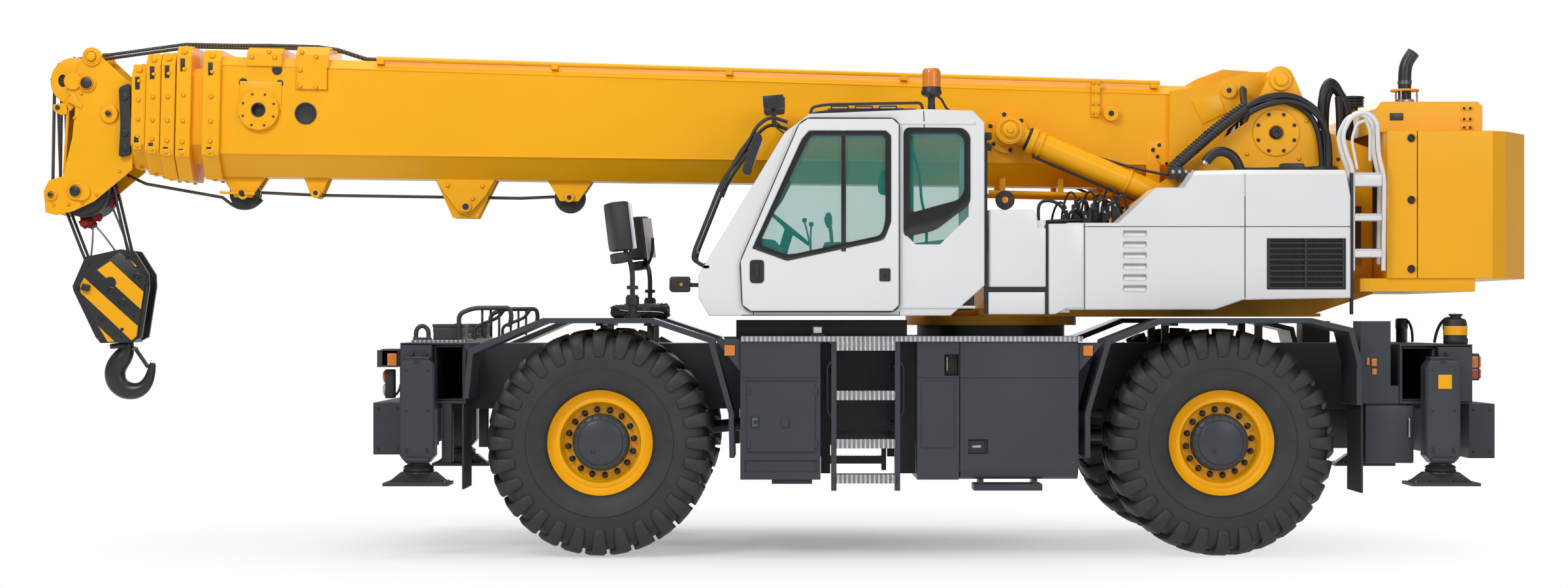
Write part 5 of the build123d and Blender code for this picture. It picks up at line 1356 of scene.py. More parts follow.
# %% Rear ladders
steps = Piece("rear_ladder_dressed", white, zinc)
for y, low in ((-1.318, 2.344), (-1.135, 2.40)):
    steps.bent([(4.752, y, low), (4.752, y, 3.18), (4.700, y, 3.316), (4.664, y, 3.469), (4.745, y, 3.622),
                (4.865, y, 3.655),
                (4.955, y, 3.575), (4.962, y, 3.316), (5.012, y, 3.111), (5.004, y, low)], 0.019, 0, 0.07,
                sides=4)
steps.bent([(4.790, -1.31, 3.18), (4.745, -1.30, 3.42), (4.790, -1.29, 3.56), (4.868, -1.28, 3.585)],
           0.013, 0, 0.05)
steps.bent([(4.868, -1.28, 3.585), (4.905, -1.27, 3.50), (4.905, -1.26, 3.25)], 0.013, 0, 0.03)
for low, high in ((3.040, 3.148), (2.756, 2.810), (2.455, 2.520)):
    steps.block((4.765, -1.338, low), (4.990, -1.120, high), 0, 0.006)
    steps.block((4.772, -1.345, high - 0.006), (4.984, -1.115, high + 0.003), 0, 0.001)
    for n in range(7):
        steps.block((4.785 + n * 0.030, -1.33, high), (4.793 + n * 0.030, -1.125, high + 0.008), 0, 0.0)
    steps.bolts([(4.735, -1.31, (low + high) / 2)], (0, -1, 0), 0.010, 1)
steps.block((4.722, -1.30, 2.44), (4.765, -1.16, 2.50), 0, 0.004)
steps.block((4.722, -1.30, 3.06), (4.765, -1.16, 3.12), 0, 0.004)
steps.mirror().done("upper", "white_paint", stands_for=["rear_ladder"])
print("rear ladders", MADE[-1])

# %% [markdown]
# Winch covers, pin caps and the round plates on the boom's side share one form: a disc with a ring of bolts.

# %% Winch covers, pin caps and lift cylinder fittings
def cover(piece, centre, radius, bolts, side=-1, thick=0.014, hole=0.0, finish=0, bolt=0.012, metal=2):
    """A round plate with a ring of bolts, on a face that looks along Y."""
    profile = ((hole, 0), (radius, 0), (radius, thick - 0.004), (radius - 0.004, thick), (hole, thick))
    piece.turned(profile, centre, (0, side, 0), finish, 64)
    level = centre[1] + side * thick
    piece.bolts(ring_of(radius * 0.83, bolts, (centre[0], centre[2]), level, 0.39), (0, side, 0), bolt,
                metal)


plates = Piece("plate_fittings", yellow, flap_rubber, cast)
for side in (-1, 1):
    cover(plates, (4.225, side * 0.740, 3.520), 0.198, 8, side, hole=0.062)
    cover(plates, (4.700, side * 0.740, 3.180), 0.150, 8, side, hole=0.062)
    plates.turned(((0, 0), (0.098, 0), (0.098, 0.016), (0.090, 0.024), (0.060, 0.024), (0.054, 0.050),
                   (0, 0.054)),
                  (4.264, side * 0.740, 3.970), (0, side, 0), 0, 48)
    plates.turned(((0, 0), (0.098, 0), (0.098, 0.018), (0.088, 0.026), (0, 0.026)),
                  (3.686, side * 0.700, 2.820), (0, side, 0), 0, 40)
    for x, z in ((3.98, 3.34), (4.06, 3.72), (4.48, 3.62), (4.42, 3.30)):
        plates.bolts([(x, side * 0.740, z)], (0, side, 0), 0.014, 0)
plates.done("upper", "yellow_paint")
for body, x, z in (("main_winch", 4.225, 3.520), ("aux_winch", 4.700, 3.180)):
    cap = Piece(f"shaft_caps_{body}", cast)
    for side in (-1, 1):
        cap.turned(((0, 0), (0.048, 0), (0.048, 0.024), (0.040, 0.032), (0.020, 0.032), (0.020, 0.018),
                    (0, 0.018)),
                   (x, side * 0.753, z), (0, side, 0), 0, 32)
        cap.bolts(ring_of(0.033, 6, (x, z), side * 0.785), (0, side, 0), 0.005, 0, False)
    cap.done(body, "black_paint")

sides = Piece("boom_round_plates", yellow, cast)
for side in (-1, 1):
    sides.bolts(ring_of(0.155, 6, (1.984, 3.548), side * 0.400, 0.7), (0, side, 0), 0.014, 1)
    cover(sides, (3.370, side * 0.338, 3.380), 0.120, 6, side, thick=0.024, metal=1)
    sides.block((3.180, min(side * 0.338, side * 0.356), 3.02),
                (3.300, max(side * 0.338, side * 0.356), 3.48), 0, 0.006)
    sides.bolts([(3.24, side * 0.356, 3.40), (3.24, side * 0.356, 3.10)], (0, side, 0), 0.014, 1)
sides.bent([(1.83, -0.30, 3.036), (2.892, -0.30, 3.010)], 0.022, 0)
sides.bent([(1.83, 0.30, 3.036), (2.892, 0.30, 3.010)], 0.022, 0)
for x in (1.95, 2.45, 2.85):
    for y in (-0.30, 0.30):
        sides.block((x - 0.025, y - 0.014, 3.02), (x + 0.025, y + 0.014, 3.16), 0, 0.003)
sides.done("boom", "yellow_paint")

LIFT_FOOT, LIFT_EYE = Vector((3.686, 0, 2.820)), Vector((1.984, 0, 3.548))
LIFT_LINE = (LIFT_EYE - LIFT_FOOT).normalized()
LIFT_LONG = (LIFT_EYE - LIFT_FOOT).length
gland = Piece("lift_glands", flap_rubber, yellow, cast, hose_rubber)
for side in (-1, 1):
    foot = LIFT_FOOT + Vector((0, side * 0.562, 0))
    mouth = foot + LIFT_LINE * (LIFT_LONG - 0.186)
    gland.turned(((0.0752, 0), (0.104, 0), (0.104, 0.014), (0.090, 0.024), (0.0752, 0.024)), mouth,
                 LIFT_LINE, 0, 40)
    for back in (0.10, 0.90):
        at = foot + LIFT_LINE * (LIFT_LONG - 0.19 - back)
        gland.turned(((0.100, -0.014), (0.112, -0.014), (0.112, 0.014), (0.100, 0.014)), at, LIFT_LINE, 1,
                     40)
    up = Vector((LIFT_LINE.z, 0, -LIFT_LINE.x)) * -1
    pipe = [foot + LIFT_LINE * d + up * 0.122 + Vector((0, side * 0.02, 0)) for d in (0.30, 0.36, 0.9,
            1.50, 1.56)]
    gland.bent(pipe, 0.012, 3, 0.03)
    gland.block(foot + LIFT_LINE * 1.56 + up * 0.10 - Vector((0.03, 0.025, 0.03)), foot + LIFT_LINE * 1.56
                + up * 0.10
                + Vector((0.03, 0.025, 0.03)), 2, 0.006)
gland.done("lift_barrels", "rubber")
rods = Piece("lift_eye_fittings", yellow)
for side in (-1, 1):
    rods.turned(((0, 0), (0.062, 0), (0.062, 0.012), (0.050, 0.020), (0.030, 0.020), (0.026, 0.036),
                 (0, 0.038)),
                (1.984, side * 0.688, 3.548), (0, side, 0), 0, 40)
    rods.turned(((0.085, 0), (0.105, 0), (0.105, 0.008), (0.085, 0.010)), (1.984, side * 0.662, 3.548),
                (0, side, 0), 0, 48)
rods.done("lift_rods", "yellow_paint")
print("plates and caps", MADE[-6:])

# %% [markdown]
# Hoses: smooth lines through a few points, wrapped in spiral guard where they bend most. Each bundle is
# drawn by one function that spreads its hoses round the same line.

# %% Hoses and valves on the upper structure
hoses = Piece("upper_hoses", hose_rubber, cast, zinc, plastic)


def bundle(line, count, radius, spread, seed):
    """Several hoses that wander about one line."""
    dice = random.Random(seed)
    for _ in range(count):
        drift = Vector((dice.uniform(-1, 1), dice.uniform(-1, 1), dice.uniform(-1, 1))) * spread
        run = []
        for point in line:
            drift += Vector((dice.uniform(-1, 1), dice.uniform(-1, 1), dice.uniform(-1, 1))) * spread * 0.4
            run.append(Vector(point) + drift)
        hoses.tube(run, radius, 0)


def sleeved(line, radius, pitch=0.030):
    """A hose in a spiral guard: the hose and a coil round it."""
    hoses.tube(line, radius, 0)
    points = [Vector(p) for p in line]
    coil = []
    for a, b in zip(points, points[1:]):
        along = (b - a).normalized()
        across = along.orthogonal().normalized()
        other = along.cross(across)
        count = max(2, int((b - a).length / pitch * 10))
        for n in range(count):
            t = 2 * math.pi * n / 10
            coil.append(a + (b - a) * n / count + (across * math.cos(t) + other * math.sin(t)) * radius
                        * 1.02)
    hoses.tube(coil, radius * 0.16, 3, smooth=False, sides=1)


for y, shift in ((-0.86, 0.0), (-0.80, 0.035)):
    sleeved([(3.325, y, 3.185 + shift), (3.403, y, 3.259 + shift), (3.637, y, 3.467 + shift),
             (3.844, y, 3.636 + shift),
             (3.960, y, 3.712 + shift)], 0.034)
bundle([(3.948, -0.80, 3.701), (4.05, -0.80, 3.775), (4.217, -0.80, 3.818), (4.373, -0.80, 3.805),
        (4.555, -0.80, 3.705),
        (4.640, -0.80, 3.523), (4.633, -0.82, 3.210)], 4, 0.024, 0.026, 5)
hoses.tube([(3.600, -0.95, 3.262), (3.655, -0.95, 3.350), (3.770, -0.95, 3.365), (3.860, -0.95, 3.290),
            (3.885, -0.95, 3.190)], 0.042, 0)
hoses.rod((3.585, -0.95, 3.240), (3.625, -0.95, 3.310), 0.030, 2)
bundle([(3.885, -0.95, 3.200), (4.05, -0.95, 3.196), (4.30, -0.96, 3.205), (4.50, -0.95, 3.20),
        (4.66, -0.93, 3.205)], 3, 0.016, 0.012, 8)
hoses.block((4.22, -1.00, 3.180), (4.42, -0.88, 3.250), 3, 0.02)
hoses.block((4.47, -1.00, 3.180), (4.60, -0.90, 3.225), 1, 0.01)
bundle([(4.70, -0.36, 3.60), (4.690, -0.36, 3.830), (4.730, -0.34, 3.960), (4.800, -0.32, 3.970),
        (4.880, -0.30, 3.860),
        (4.925, -0.30, 3.700), (4.935, -0.30, 3.45)], 3, 0.038, 0.022, 11)
bundle([(4.816, -0.45, 3.846), (4.843, -0.45, 3.607), (4.83, -0.45, 3.20)], 2, 0.030, 0.02, 12)
hoses.block((3.300, -0.92, 3.125), (3.420, -0.76, 3.225), 1, 0.016)
hoses.block((3.380, -0.94, 3.100), (3.560, -0.78, 3.172), 3, 0.014)
for n in range(4):
    hoses.rod((3.33 + n * 0.055, -0.93, 3.18), (3.33 + n * 0.055, -0.90, 3.18), 0.016, 2)
bundle([(3.30, -0.86, 3.16), (3.196, -0.66, 3.179), (2.882, -0.52, 3.284), (2.600, -0.44, 3.375)], 1,
       0.012, 0.0, 3)
bundle([(3.96, -0.78, 3.70), (3.97, -0.60, 3.80), (3.99, -0.48, 3.90)], 3, 0.020, 0.02, 21)

valve_dice = random.Random(31)
for n in range(6):
    x = 2.46 + n * 0.082
    y = -0.66 - 0.03 * (n % 3)
    top = 2.86 + valve_dice.uniform(-0.03, 0.10)
    hoses.block((x - 0.034, y - 0.05, 2.735), (x + 0.034, y + 0.06, top), 1, 0.008)
    hoses.rod((x, y, top), (x, y, top + valve_dice.uniform(0.03, 0.10)), 0.017, 3)
    hoses.rod((x - 0.01, y - 0.055, top - 0.05), (x - 0.01, y - 0.09, top - 0.05), 0.014, 2)
    reach = valve_dice.uniform(0.10, 0.22)
    hoses.tube([(x, y - 0.08, top - 0.05), (x + 0.01, y - 0.14, top + 0.02),
                (x + reach * 0.6, y - 0.13, top + reach * 0.5),
                (x + reach, y - 0.04, top - 0.06), (x + reach, y, 2.72)], 0.012, 0)
    hoses.tube([(x, y, top + 0.05), (x - 0.04, y + 0.02, top + 0.16), (x - 0.10, y + 0.06, top + 0.10),
                (x - 0.12, y + 0.08, 2.74)],
               0.010, 0)
hoses.block((2.40, -0.84, 2.690), (3.02, -0.56, 2.740), 1, 0.006)
hoses.tube([(2.22, -0.80, 2.74), (2.20, -0.80, 2.90), (2.235, -0.80, 2.97), (2.42, -0.78, 2.93),
            (2.46, -0.76, 2.80)], 0.014, 0)
bundle([(2.20, -0.82, 2.735), (2.32, -0.83, 2.762), (2.46, -0.80, 2.752), (2.60, -0.74, 2.770)], 4, 0.015,
       0.014, 17)
hoses.done("upper", "rubber")
print("hoses", MADE[-1])

# %% Horn, cylinder lamp and boom foot platform
horn = Piece("horn_and_lamp", plastic, amber)
horn.turned(((0, 0), (0.060, 0), (0.076, 0.014), (0.080, 0.030), (0.074, 0.044), (0.034, 0.046),
             (0.032, 0.040), (0, 0.040)),
            (1.903, -1.12, 2.934), (0, -1, 0), 0, 40)
horn.turned(((0, 0.040), (0.030, 0.040), (0.026, 0.052), (0.012, 0.056), (0, 0.056)),
            (1.903, -1.12, 2.934), (0, -1, 0), 1, 28)
horn.block((1.885, -1.14, 2.83), (1.921, -1.11, 2.90), 0, 0.004)
horn.done("upper", "black_plastic")
trailing = Piece("cab_rear_hose", hose_rubber, plastic)
trailing.tube([(1.735, -1.05, 3.50), (1.755, -1.05, 3.42), (1.75, -1.05, 3.10), (1.745, -1.05, 2.75),
               (1.76, -1.05, 2.50)], 0.014, 0)
for z in (3.47, 3.38):
    trailing.block((1.728, -1.10, z - 0.03), (1.80, -1.00, z + 0.03), 1, 0.012)
trailing.done("upper", "rubber")
print("horn and hose", MADE[-2:])

# %% [markdown]
# The tail: plugs in the counterweight's lifting holes, hinges and latches on the hood, and an exhaust
# whose bent mouth is one smooth tube with a slanted lip.

# %% Tail, exhaust and intake
tail = Piece("tail_fittings", yellow, flap_rubber, cast, black)
for side in (-1, 1):
    for z in (2.360, 2.930, 3.440):
        tail.turned(((0, -0.03), (0.033, -0.03), (0.033, -0.026), (0, -0.026)), (5.250, side * 1.250, z),
                    (0, side, 0), 1, 28)
        tail.turned(((0.034, 0.0), (0.041, 0.0), (0.041, 0.003), (0.034, 0.004)), (5.250, side * 1.250, z),
                    (0, side, 0), 0, 32)
    tail.block((5.2975, min(side * 1.249, side * 1.243), 2.285),
               (5.3025, max(side * 1.249, side * 1.243), 3.500), 1, 0.0)
    for z in (3.70, 3.61, 3.54):
        tail.block((5.70, min(side * 1.080, side * 1.094), z - 0.016),
                   (5.80, max(side * 1.080, side * 1.094), z + 0.016), 0, 0.004)
        tail.bolts([(5.725, side * 1.094, z), (5.775, side * 1.094, z)], (0, side, 0), 0.009, 2)
    tail.block((5.11, min(side * 1.080, side * 1.090), 3.60),
               (5.22, max(side * 1.080, side * 1.090), 3.66), 3, 0.004)
    tail.turned(((0, 0), (0.050, 0), (0.058, 0.012), (0.050, 0.030), (0.020, 0.040), (0, 0.042)),
                (6.150, side * 0.45, 3.502), (0, 0, 1), 3, 32)
for y in (-0.6, -0.2, 0.2, 0.6):
    tail.turned(((0, 0), (0.050, 0), (0.050, 0.014), (0.030, 0.020), (0, 0.020)), (6.316, y, 2.62),
                (1, 0, 0), 0, 28)
tail.block((6.300, -0.758, 2.880), (6.3175, 0.758, 2.890), 1, 0.0)
tail.done("upper", "yellow_paint")

pipes = Piece("exhaust_dressed", black, yellow, zinc, steel)
MOUTH = [(5.315, -0.72, 3.757), (5.315, -0.72, 3.90), (5.315, -0.72, 4.00), (5.320, -0.72, 4.08),
         (5.345, -0.72, 4.14), (5.390, -0.72, 4.200)]
pipes.tube(MOUTH, 0.056, 0, sides=6)
pipes.turned(((0.050, 0), (0.120, 0), (0.122, 0.010), (0.118, 0.016), (0.060, 0.016), (0.050, 0.020)),
             (5.315, -0.72, 3.870), (0, 0, 1), 1, 48)
pipes.turned(((0.050, 0), (0.078, 0), (0.080, 0.040), (0.058, 0.050), (0.050, 0.050)),
             (5.315, -0.72, 3.757), (0, 0, 1), 2, 48)
pipes.turned(((0.0545, 0), (0.060, 0), (0.060, 0.030), (0.0545, 0.030)), (5.315, -0.72, 3.930), (0, 0, 1),
             3, 40)
for n in range(3):
    t = 2.1 * n
    pipes.rod((5.315 + 0.105 * math.cos(t), -0.72 + 0.105 * math.sin(t), 3.757),
              (5.315 + 0.105 * math.cos(t), -0.72
              + 0.105 * math.sin(t), 3.872), 0.008, 2)
RIBS = [(0, 0), (0.052, 0), (0.052, 0.075)]
for n in range(3):
    RIBS += [(0.104, 0.082 + n * 0.024), (0.104, 0.094 + n * 0.024), (0.094, 0.098 + n * 0.024)]
RIBS += [(0.110, 0.156), (0.110, 0.168), (0.100, 0.176), (0, 0.178)]
pipes.turned(RIBS, (5.140, 0.560, 3.757), (0, 0, 1), 0, 48)
pipes.done("upper", "steel", stands_for=["exhaust"])
print("tail", MADE[-2:])

# %% [markdown]
# The carrier is dark on dark, so it lives on gaps, edges and small bright parts: seams between locker doors,
# latches in shallow trays, orange markers, silver treads on the ladders.

# %% Lockers: seams, latches and markers
LOCKER_FACE = -1.580
trim_lines = Piece("locker_gaps", flap_rubber)
for z, x0, x1 in ((1.4695, 1.155, 2.463), (1.4695, -0.284, 0.365), (0.860, -0.250, 0.342)):
    trim_lines.block((x0, LOCKER_FACE - 0.0015, z - 0.003), (x1, LOCKER_FACE + 0.004, z + 0.003), 0, 0.0)
for x0, x1 in ((0.372, 0.450), (1.020, 1.150)):
    trim_lines.block((x0, -1.380, 0.68), (x1, -1.360, 1.755), 0, 0.0)
trim_lines.block((1.492, LOCKER_FACE + 0.012, 0.70), (1.505, LOCKER_FACE + 0.016, 1.76), 0, 0.0)
trim_lines.mirror().done("carrier", "rubber")

locks = Piece("locker_fittings", grey, plastic, zinc, amber, steel)
locks.slab(rounded(((-0.201, 1.059), (-0.132, 1.059), (-0.132, 1.157), (-0.201, 1.157)), 0.012), -1.600,
           -1.590, 1, 0.002,
           [rounded(((-0.190, 1.070), (-0.143, 1.070), (-0.143, 1.146), (-0.190, 1.146)), 0.008)])
locks.block((-0.188, -1.594, 1.072), (-0.145, -1.591, 1.144), 4, 0.0)
locks.turned(((0, 0), (0.017, 0), (0.017, 0.007), (0.006, 0.009), (0, 0.009)), (-0.162, -1.593, 1.108),
             (0, -1, 0), 1, 24)
locks.block((1.572, -1.560, 0.856), (1.700, -1.548, 0.956), 1, 0.0)
locks.block((1.600, -1.574, 0.900), (1.672, -1.556, 0.920), 2, 0.005)
locks.block((1.378, -1.480, 1.490), (1.484, -1.470, 1.656), 1, 0.0)
locks.rod((1.40, -1.50, 1.52), (1.40, -1.50, 1.64), 0.012, 2)
for x in (-0.215, 0.330):
    for z in (0.93, 1.36):
        locks.block((x - 0.012, -1.600, z - 0.03), (x + 0.012, -1.588, z + 0.03), 0, 0.004)
for corners in (((-0.497, 1.786), (-0.288, 1.786), (-0.288, 1.518)),
                ((2.466, 1.752), (2.668, 1.752), (2.466, 1.508))):
    locks.slab(corners, -1.560, -1.548, 0, 0.003)
for x0, x1, z0, z1, y in ((-0.415, -0.330, 1.649, 1.734, -1.560), (2.506, 2.584, 1.648, 1.731, -1.560),
                          (4.850, 4.875, 1.570, 1.630, -1.382), (4.890, 4.935, 1.560, 1.622, -1.382),
                          (4.895, 4.935, 1.490, 1.540, -1.382)):
    locks.block((x0, y - 0.010, z0), (x1, y, z1), 3, 0.006)
    locks.block((x0 - 0.004, y - 0.004, z0 - 0.004), (x1 + 0.004, y, z1 + 0.004), 1, 0.002)
locks.block((1.62, -1.50, 0.545), (2.18, -1.22, 0.600), 0, 0.006)
locks.block((1.66, -1.48, 0.595), (1.70, -1.26, 0.645), 0, 0.002)
locks.block((2.10, -1.48, 0.595), (2.14, -1.26, 0.645), 0, 0.002)
locks.block((-0.03, -1.50, 0.600), (0.30, -1.24, 0.640), 0, 0.006)
locks.bolts([(x, LOCKER_FACE, z) for x in (1.20, 1.45) for z in (0.72, 1.72)], (0, -1, 0), 0.008, 4, False)
locks.bolts([(x, LOCKER_FACE, z) for x in (1.54, 2.42) for z in (0.78, 1.43, 1.70)], (0, -1, 0), 0.008, 4,
            False)
locks.mirror().done("carrier", "dark_grey_paint")
print("lockers", MADE[-2:])

# %% Ladder treads and rails
treads = Piece("ladder_treads", chequer_plate, grey, zinc)
TREAD_X = (0.495, 0.975)
for low, high in ((1.690, 1.7625), (1.288, 1.359), (0.895, 0.966), (0.610, 0.680)):
    treads.block((TREAD_X[0], -1.604, low), (TREAD_X[1], -1.594, high), 0, 0.003)
    treads.block((TREAD_X[0], -1.600, high - 0.004), (TREAD_X[1], -1.440, high + 0.004), 0, 0.002)
    treads.bolts([(x, -1.604, (low + high) / 2) for x in (0.52, 0.95)], (0, -1, 0), 0.007, 2, False)
for x in (0.455, 1.015):
    treads.bent([(x, -1.50, 1.15), (x - 0.03 * (1 if x < 0.7 else -1), -1.50, 1.20),
                 (x - 0.03 * (1 if x < 0.7 else -1), -1.50, 1.55),
                 (x, -1.50, 1.60)], 0.011, 1, 0.02)
treads.mirror().done("carrier", "chequer_plate")
print("treads", MADE[-1])

# %% [markdown]
# Outriggers: the jack housings get rounded face plates with bolts, the floats get ribs, and pipes and
# hoses fill the dark mouths of the boxes. All of these ride on the beam or the jack that carries them.

# %% Outrigger face plates, floats and box mouths
for end, x, half, rear in (("f", -2.912, 0.265, False), ("r", 5.427, 0.278, True)):
    for side, name in ((-1, "l"), (1, "r")):
        face = side * 1.600
        plate = Piece(f"jack_plate_{end}{name}", grey, flap_rubber, cast, yellow)
        outline = ((x - 0.128, 0.800), (x + 0.128, 0.800), (x + 0.134, 0.95), (x + 0.128, 1.606),
                   (x - 0.128, 1.606), (x - 0.134, 0.95))
        levels = sorted((face, face + side * 0.012))
        plate.slab(rounded(outline, 0.035), *levels, 0, 0.005)
        front = face + side * 0.012
        plate.bolts([(x + dx, front, z) for dx in (-0.092, 0.092) for z in (1.53, 1.20)], (0, side, 0),
                    0.008, 2, False)
        for dx in (-0.082, 0.082):
            plate.slab(rounded(((x + dx - 0.012, 0.855), (x + dx + 0.012, 0.855), (x + dx + 0.012, 0.905),
                                (x + dx - 0.012, 0.905)), 0.01),
                       *sorted((front, front + side * 0.002)), 1, 0.0)
        plate.slab(rounded(((x - 0.03, 1.585), (x + 0.03, 1.585), (x + 0.02, 1.612), (x - 0.02, 1.612)),
                           0.008),
                   *sorted((front, front + side * 0.003)), 1, 0.0)
        plate.block((x - 0.10, min(face, face + side * 0.05), 0.792),
                    (x + 0.10, max(face, face + side * 0.05), 0.815), 0, 0.006)
        if rear:
            plate.block((x - 0.042, min(front, front + side * 0.002), 1.380),
                        (x + 0.068, max(front, front + side * 0.002), 1.494), 3, 0.0)
        inner = side * 1.412
        plate.block((x - 0.10, min(inner, inner + side * 0.17), 1.617),
                    (x + 0.10, max(inner, inner + side * 0.17), 1.640), 0, 0.006)
        plate.tube([(x - 0.06, side * 1.50, 1.64), (x - 0.05, side * 1.47, 1.70),
                    (x - 0.02, side * 1.40, 1.715), (x, side * 1.34, 1.66)], 0.012, 1)
        plate.tube([(x + 0.05, side * 1.50, 1.64), (x + 0.06, side * 1.47, 1.69),
                    (x + 0.04, side * 1.40, 1.700), (x + 0.03, side * 1.34, 1.66)], 0.010, 1)
        plate.done(f"beam_{end}{name}", "dark_grey_paint")

        pad = Piece(f"float_dressing_{end}{name}", grey, flap_rubber, steel)
        y = side * 1.506
        for dx in (-0.19, -0.10, 0.10, 0.19):
            tall = 0.655 if abs(dx) < 0.15 else 0.640
            plate_y = sorted((y - side * 0.14, y + side * 0.10))
            pad.slab(((plate_y[0], 0.619), (plate_y[1], 0.619),
                      ((plate_y[0] + plate_y[1]) / 2 + 0.04, tall),
                      ((plate_y[0] + plate_y[1]) / 2 - 0.04, tall)), x + dx - 0.006, x + dx + 0.006, 0,
                      0.002, (), "X")
        pad.turned(((0.0, 0.0), (0.118, 0.0), (0.128, 0.014), (0.118, 0.028), (0.126, 0.040),
                    (0.110, 0.054), (0.075, 0.060), (0.0625, 0.060)),
                   (x, y, 0.700), (0, 0, 1), 1, 40)
        pad.rod((x - 0.15, y, 0.672), (x + 0.15, y, 0.672), 0.014, 2)
        pad.bolts([(x + dx, y + dy, 0.620) for dx in (-0.23, 0.23) for dy in (-0.12, 0.08)], (0, 0, 1),
                  0.012, 2)
        pad.done(f"jack_{end}{name}", "dark_grey_paint")
print("outriggers", MADE[-8:])

# %% Chassis ends: lamps, boxes, rails and canister
ends = Piece("carrier_end_fittings", grey, plastic, amber, red_lens, clear_lens, zinc, cast)
for side in (-1, 1):
    y0, y1 = sorted((side * 1.250, side * 0.980))
    ends.block((-3.262, y0, 1.552), (-3.095, y1, 1.700), 1, 0.014)
    ends.block((-3.275, y0 + 0.02, 1.570), (-3.258, y1 - 0.02, 1.685), 4, 0.008)
    ends.block((-3.205, min(side * 1.249, side * 1.262), 1.562),
               (-3.125, max(side * 1.249, side * 1.262), 1.664), 2, 0.008)
    for n, tint in enumerate((2, 4)):
        ends.turned(((0, 0), (0.048, 0), (0.052, 0.010), (0.040, 0.022), (0, 0.028)),
                    (-3.235, side * 1.12, 1.470 - n * 0.11), (-1, 0, 0), tint, 28)
    ends.block((-3.235, min(side * 1.06, side * 1.18), 1.29),
               (-3.160, max(side * 1.06, side * 1.18), 1.53), 1, 0.01)
    ends.tube([(-3.18, side * 1.14, 1.32), (-3.12, side * 1.16, 1.30), (-3.10, side * 1.18, 1.40),
               (-3.09, side * 1.10, 1.56)], 0.010, 6)
    ends.block((5.716, y0, 1.440), (5.815, y1, 1.662), 1, 0.012)
    for z0, z1, tint in ((1.545, 1.640, 2), (1.455, 1.535, 3)):
        ends.block((5.800, y0 + 0.015, z0), (5.830, y1 - 0.015, z1), tint, 0.010)
        ends.block((5.735, min(side * 1.249, side * 1.262), z0),
                   (5.800, max(side * 1.249, side * 1.262), z1), tint, 0.010)
    ends.block((4.835, min(side * 1.398, side * 1.200), 0.765),
               (5.236, max(side * 1.398, side * 1.200), 1.238), 0, 0.012)
    ends.block((4.845, min(side * 1.36, side * 1.22), 1.232), (5.22, max(side * 1.36, side * 1.22), 1.256),
               0, 0.004)
    ends.bent([(5.195, side * 1.398, 0.975), (5.195, side * 1.422, 0.985), (5.195, side * 1.422, 1.125),
               (5.195, side * 1.398, 1.135)], 0.010, 5, 0.012)
    ends.block((-2.738, min(side * 1.398, side * 1.30), 0.770),
               (-2.652, max(side * 1.398, side * 1.30), 1.252), 0, 0.008)
    for x0, x1, z0, z1 in ((-3.315, -3.077, 0.830, 1.258), (5.715, 5.927, 0.800, 1.248)):
        face = side * 1.290
        ends.bolts([(x, face, z) for x in (x0 + 0.04, x1 - 0.04) for z in (z0 + 0.05, z1 - 0.05)],
                   (0, side, 0), 0.010, 6, False)
    ends.turned(((0, 0), (0.050, 0), (0.052, 0.120), (0.056, 0.125), (0.056, 0.200), (0.046, 0.214),
                 (0, 0.216)), (5.655, side * 0.88, 1.740), (0, 0, 1), 1, 32)
    ends.tube([(5.655, side * 0.88, 1.93), (5.70, side * 0.86, 1.97), (5.74, side * 0.80, 1.90),
               (5.72, side * 0.74, 1.745)], 0.012, 1)
for y in (-0.9, -0.45, 0.0, 0.45, 0.9):
    ends.bolts([(-3.3153, y, 0.90), (-3.3153, y, 1.19)], (-1, 0, 0), 0.012, 6)
    ends.bolts([(5.9273, y, 0.88), (5.9273, y, 1.18)], (1, 0, 0), 0.012, 6)
ends.block((-3.330, -0.12, 0.96), (-3.310, 0.12, 1.10), 0, 0.01)
ends.turned(((0, 0), (0.040, 0), (0.040, 0.03), (0.060, 0.04), (0.060, 0.055), (0, 0.06)),
            (-3.318, 0.0, 1.03), (-1, 0, 0), 6, 28)
ends.rod((5.927, -0.09, 1.05), (6.02, -0.09, 1.05), 0.022, 6)
ends.rod((5.927, 0.09, 1.05), (6.02, 0.09, 1.05), 0.022, 6)
ends.rod((5.995, -0.13, 1.05), (5.995, 0.13, 1.05), 0.026, 6)
ends.block((0.290, -1.45, 1.806), (0.400, -1.34, 1.822), 1, 0.003)
ends.block((0.300, -1.44, 1.822), (0.390, -1.36, 1.890), 1, 0.014)
ends.block((0.312, -1.448, 1.832), (0.378, -1.438, 1.880), 4, 0.006)
ends.done("carrier", "dark_grey_paint")

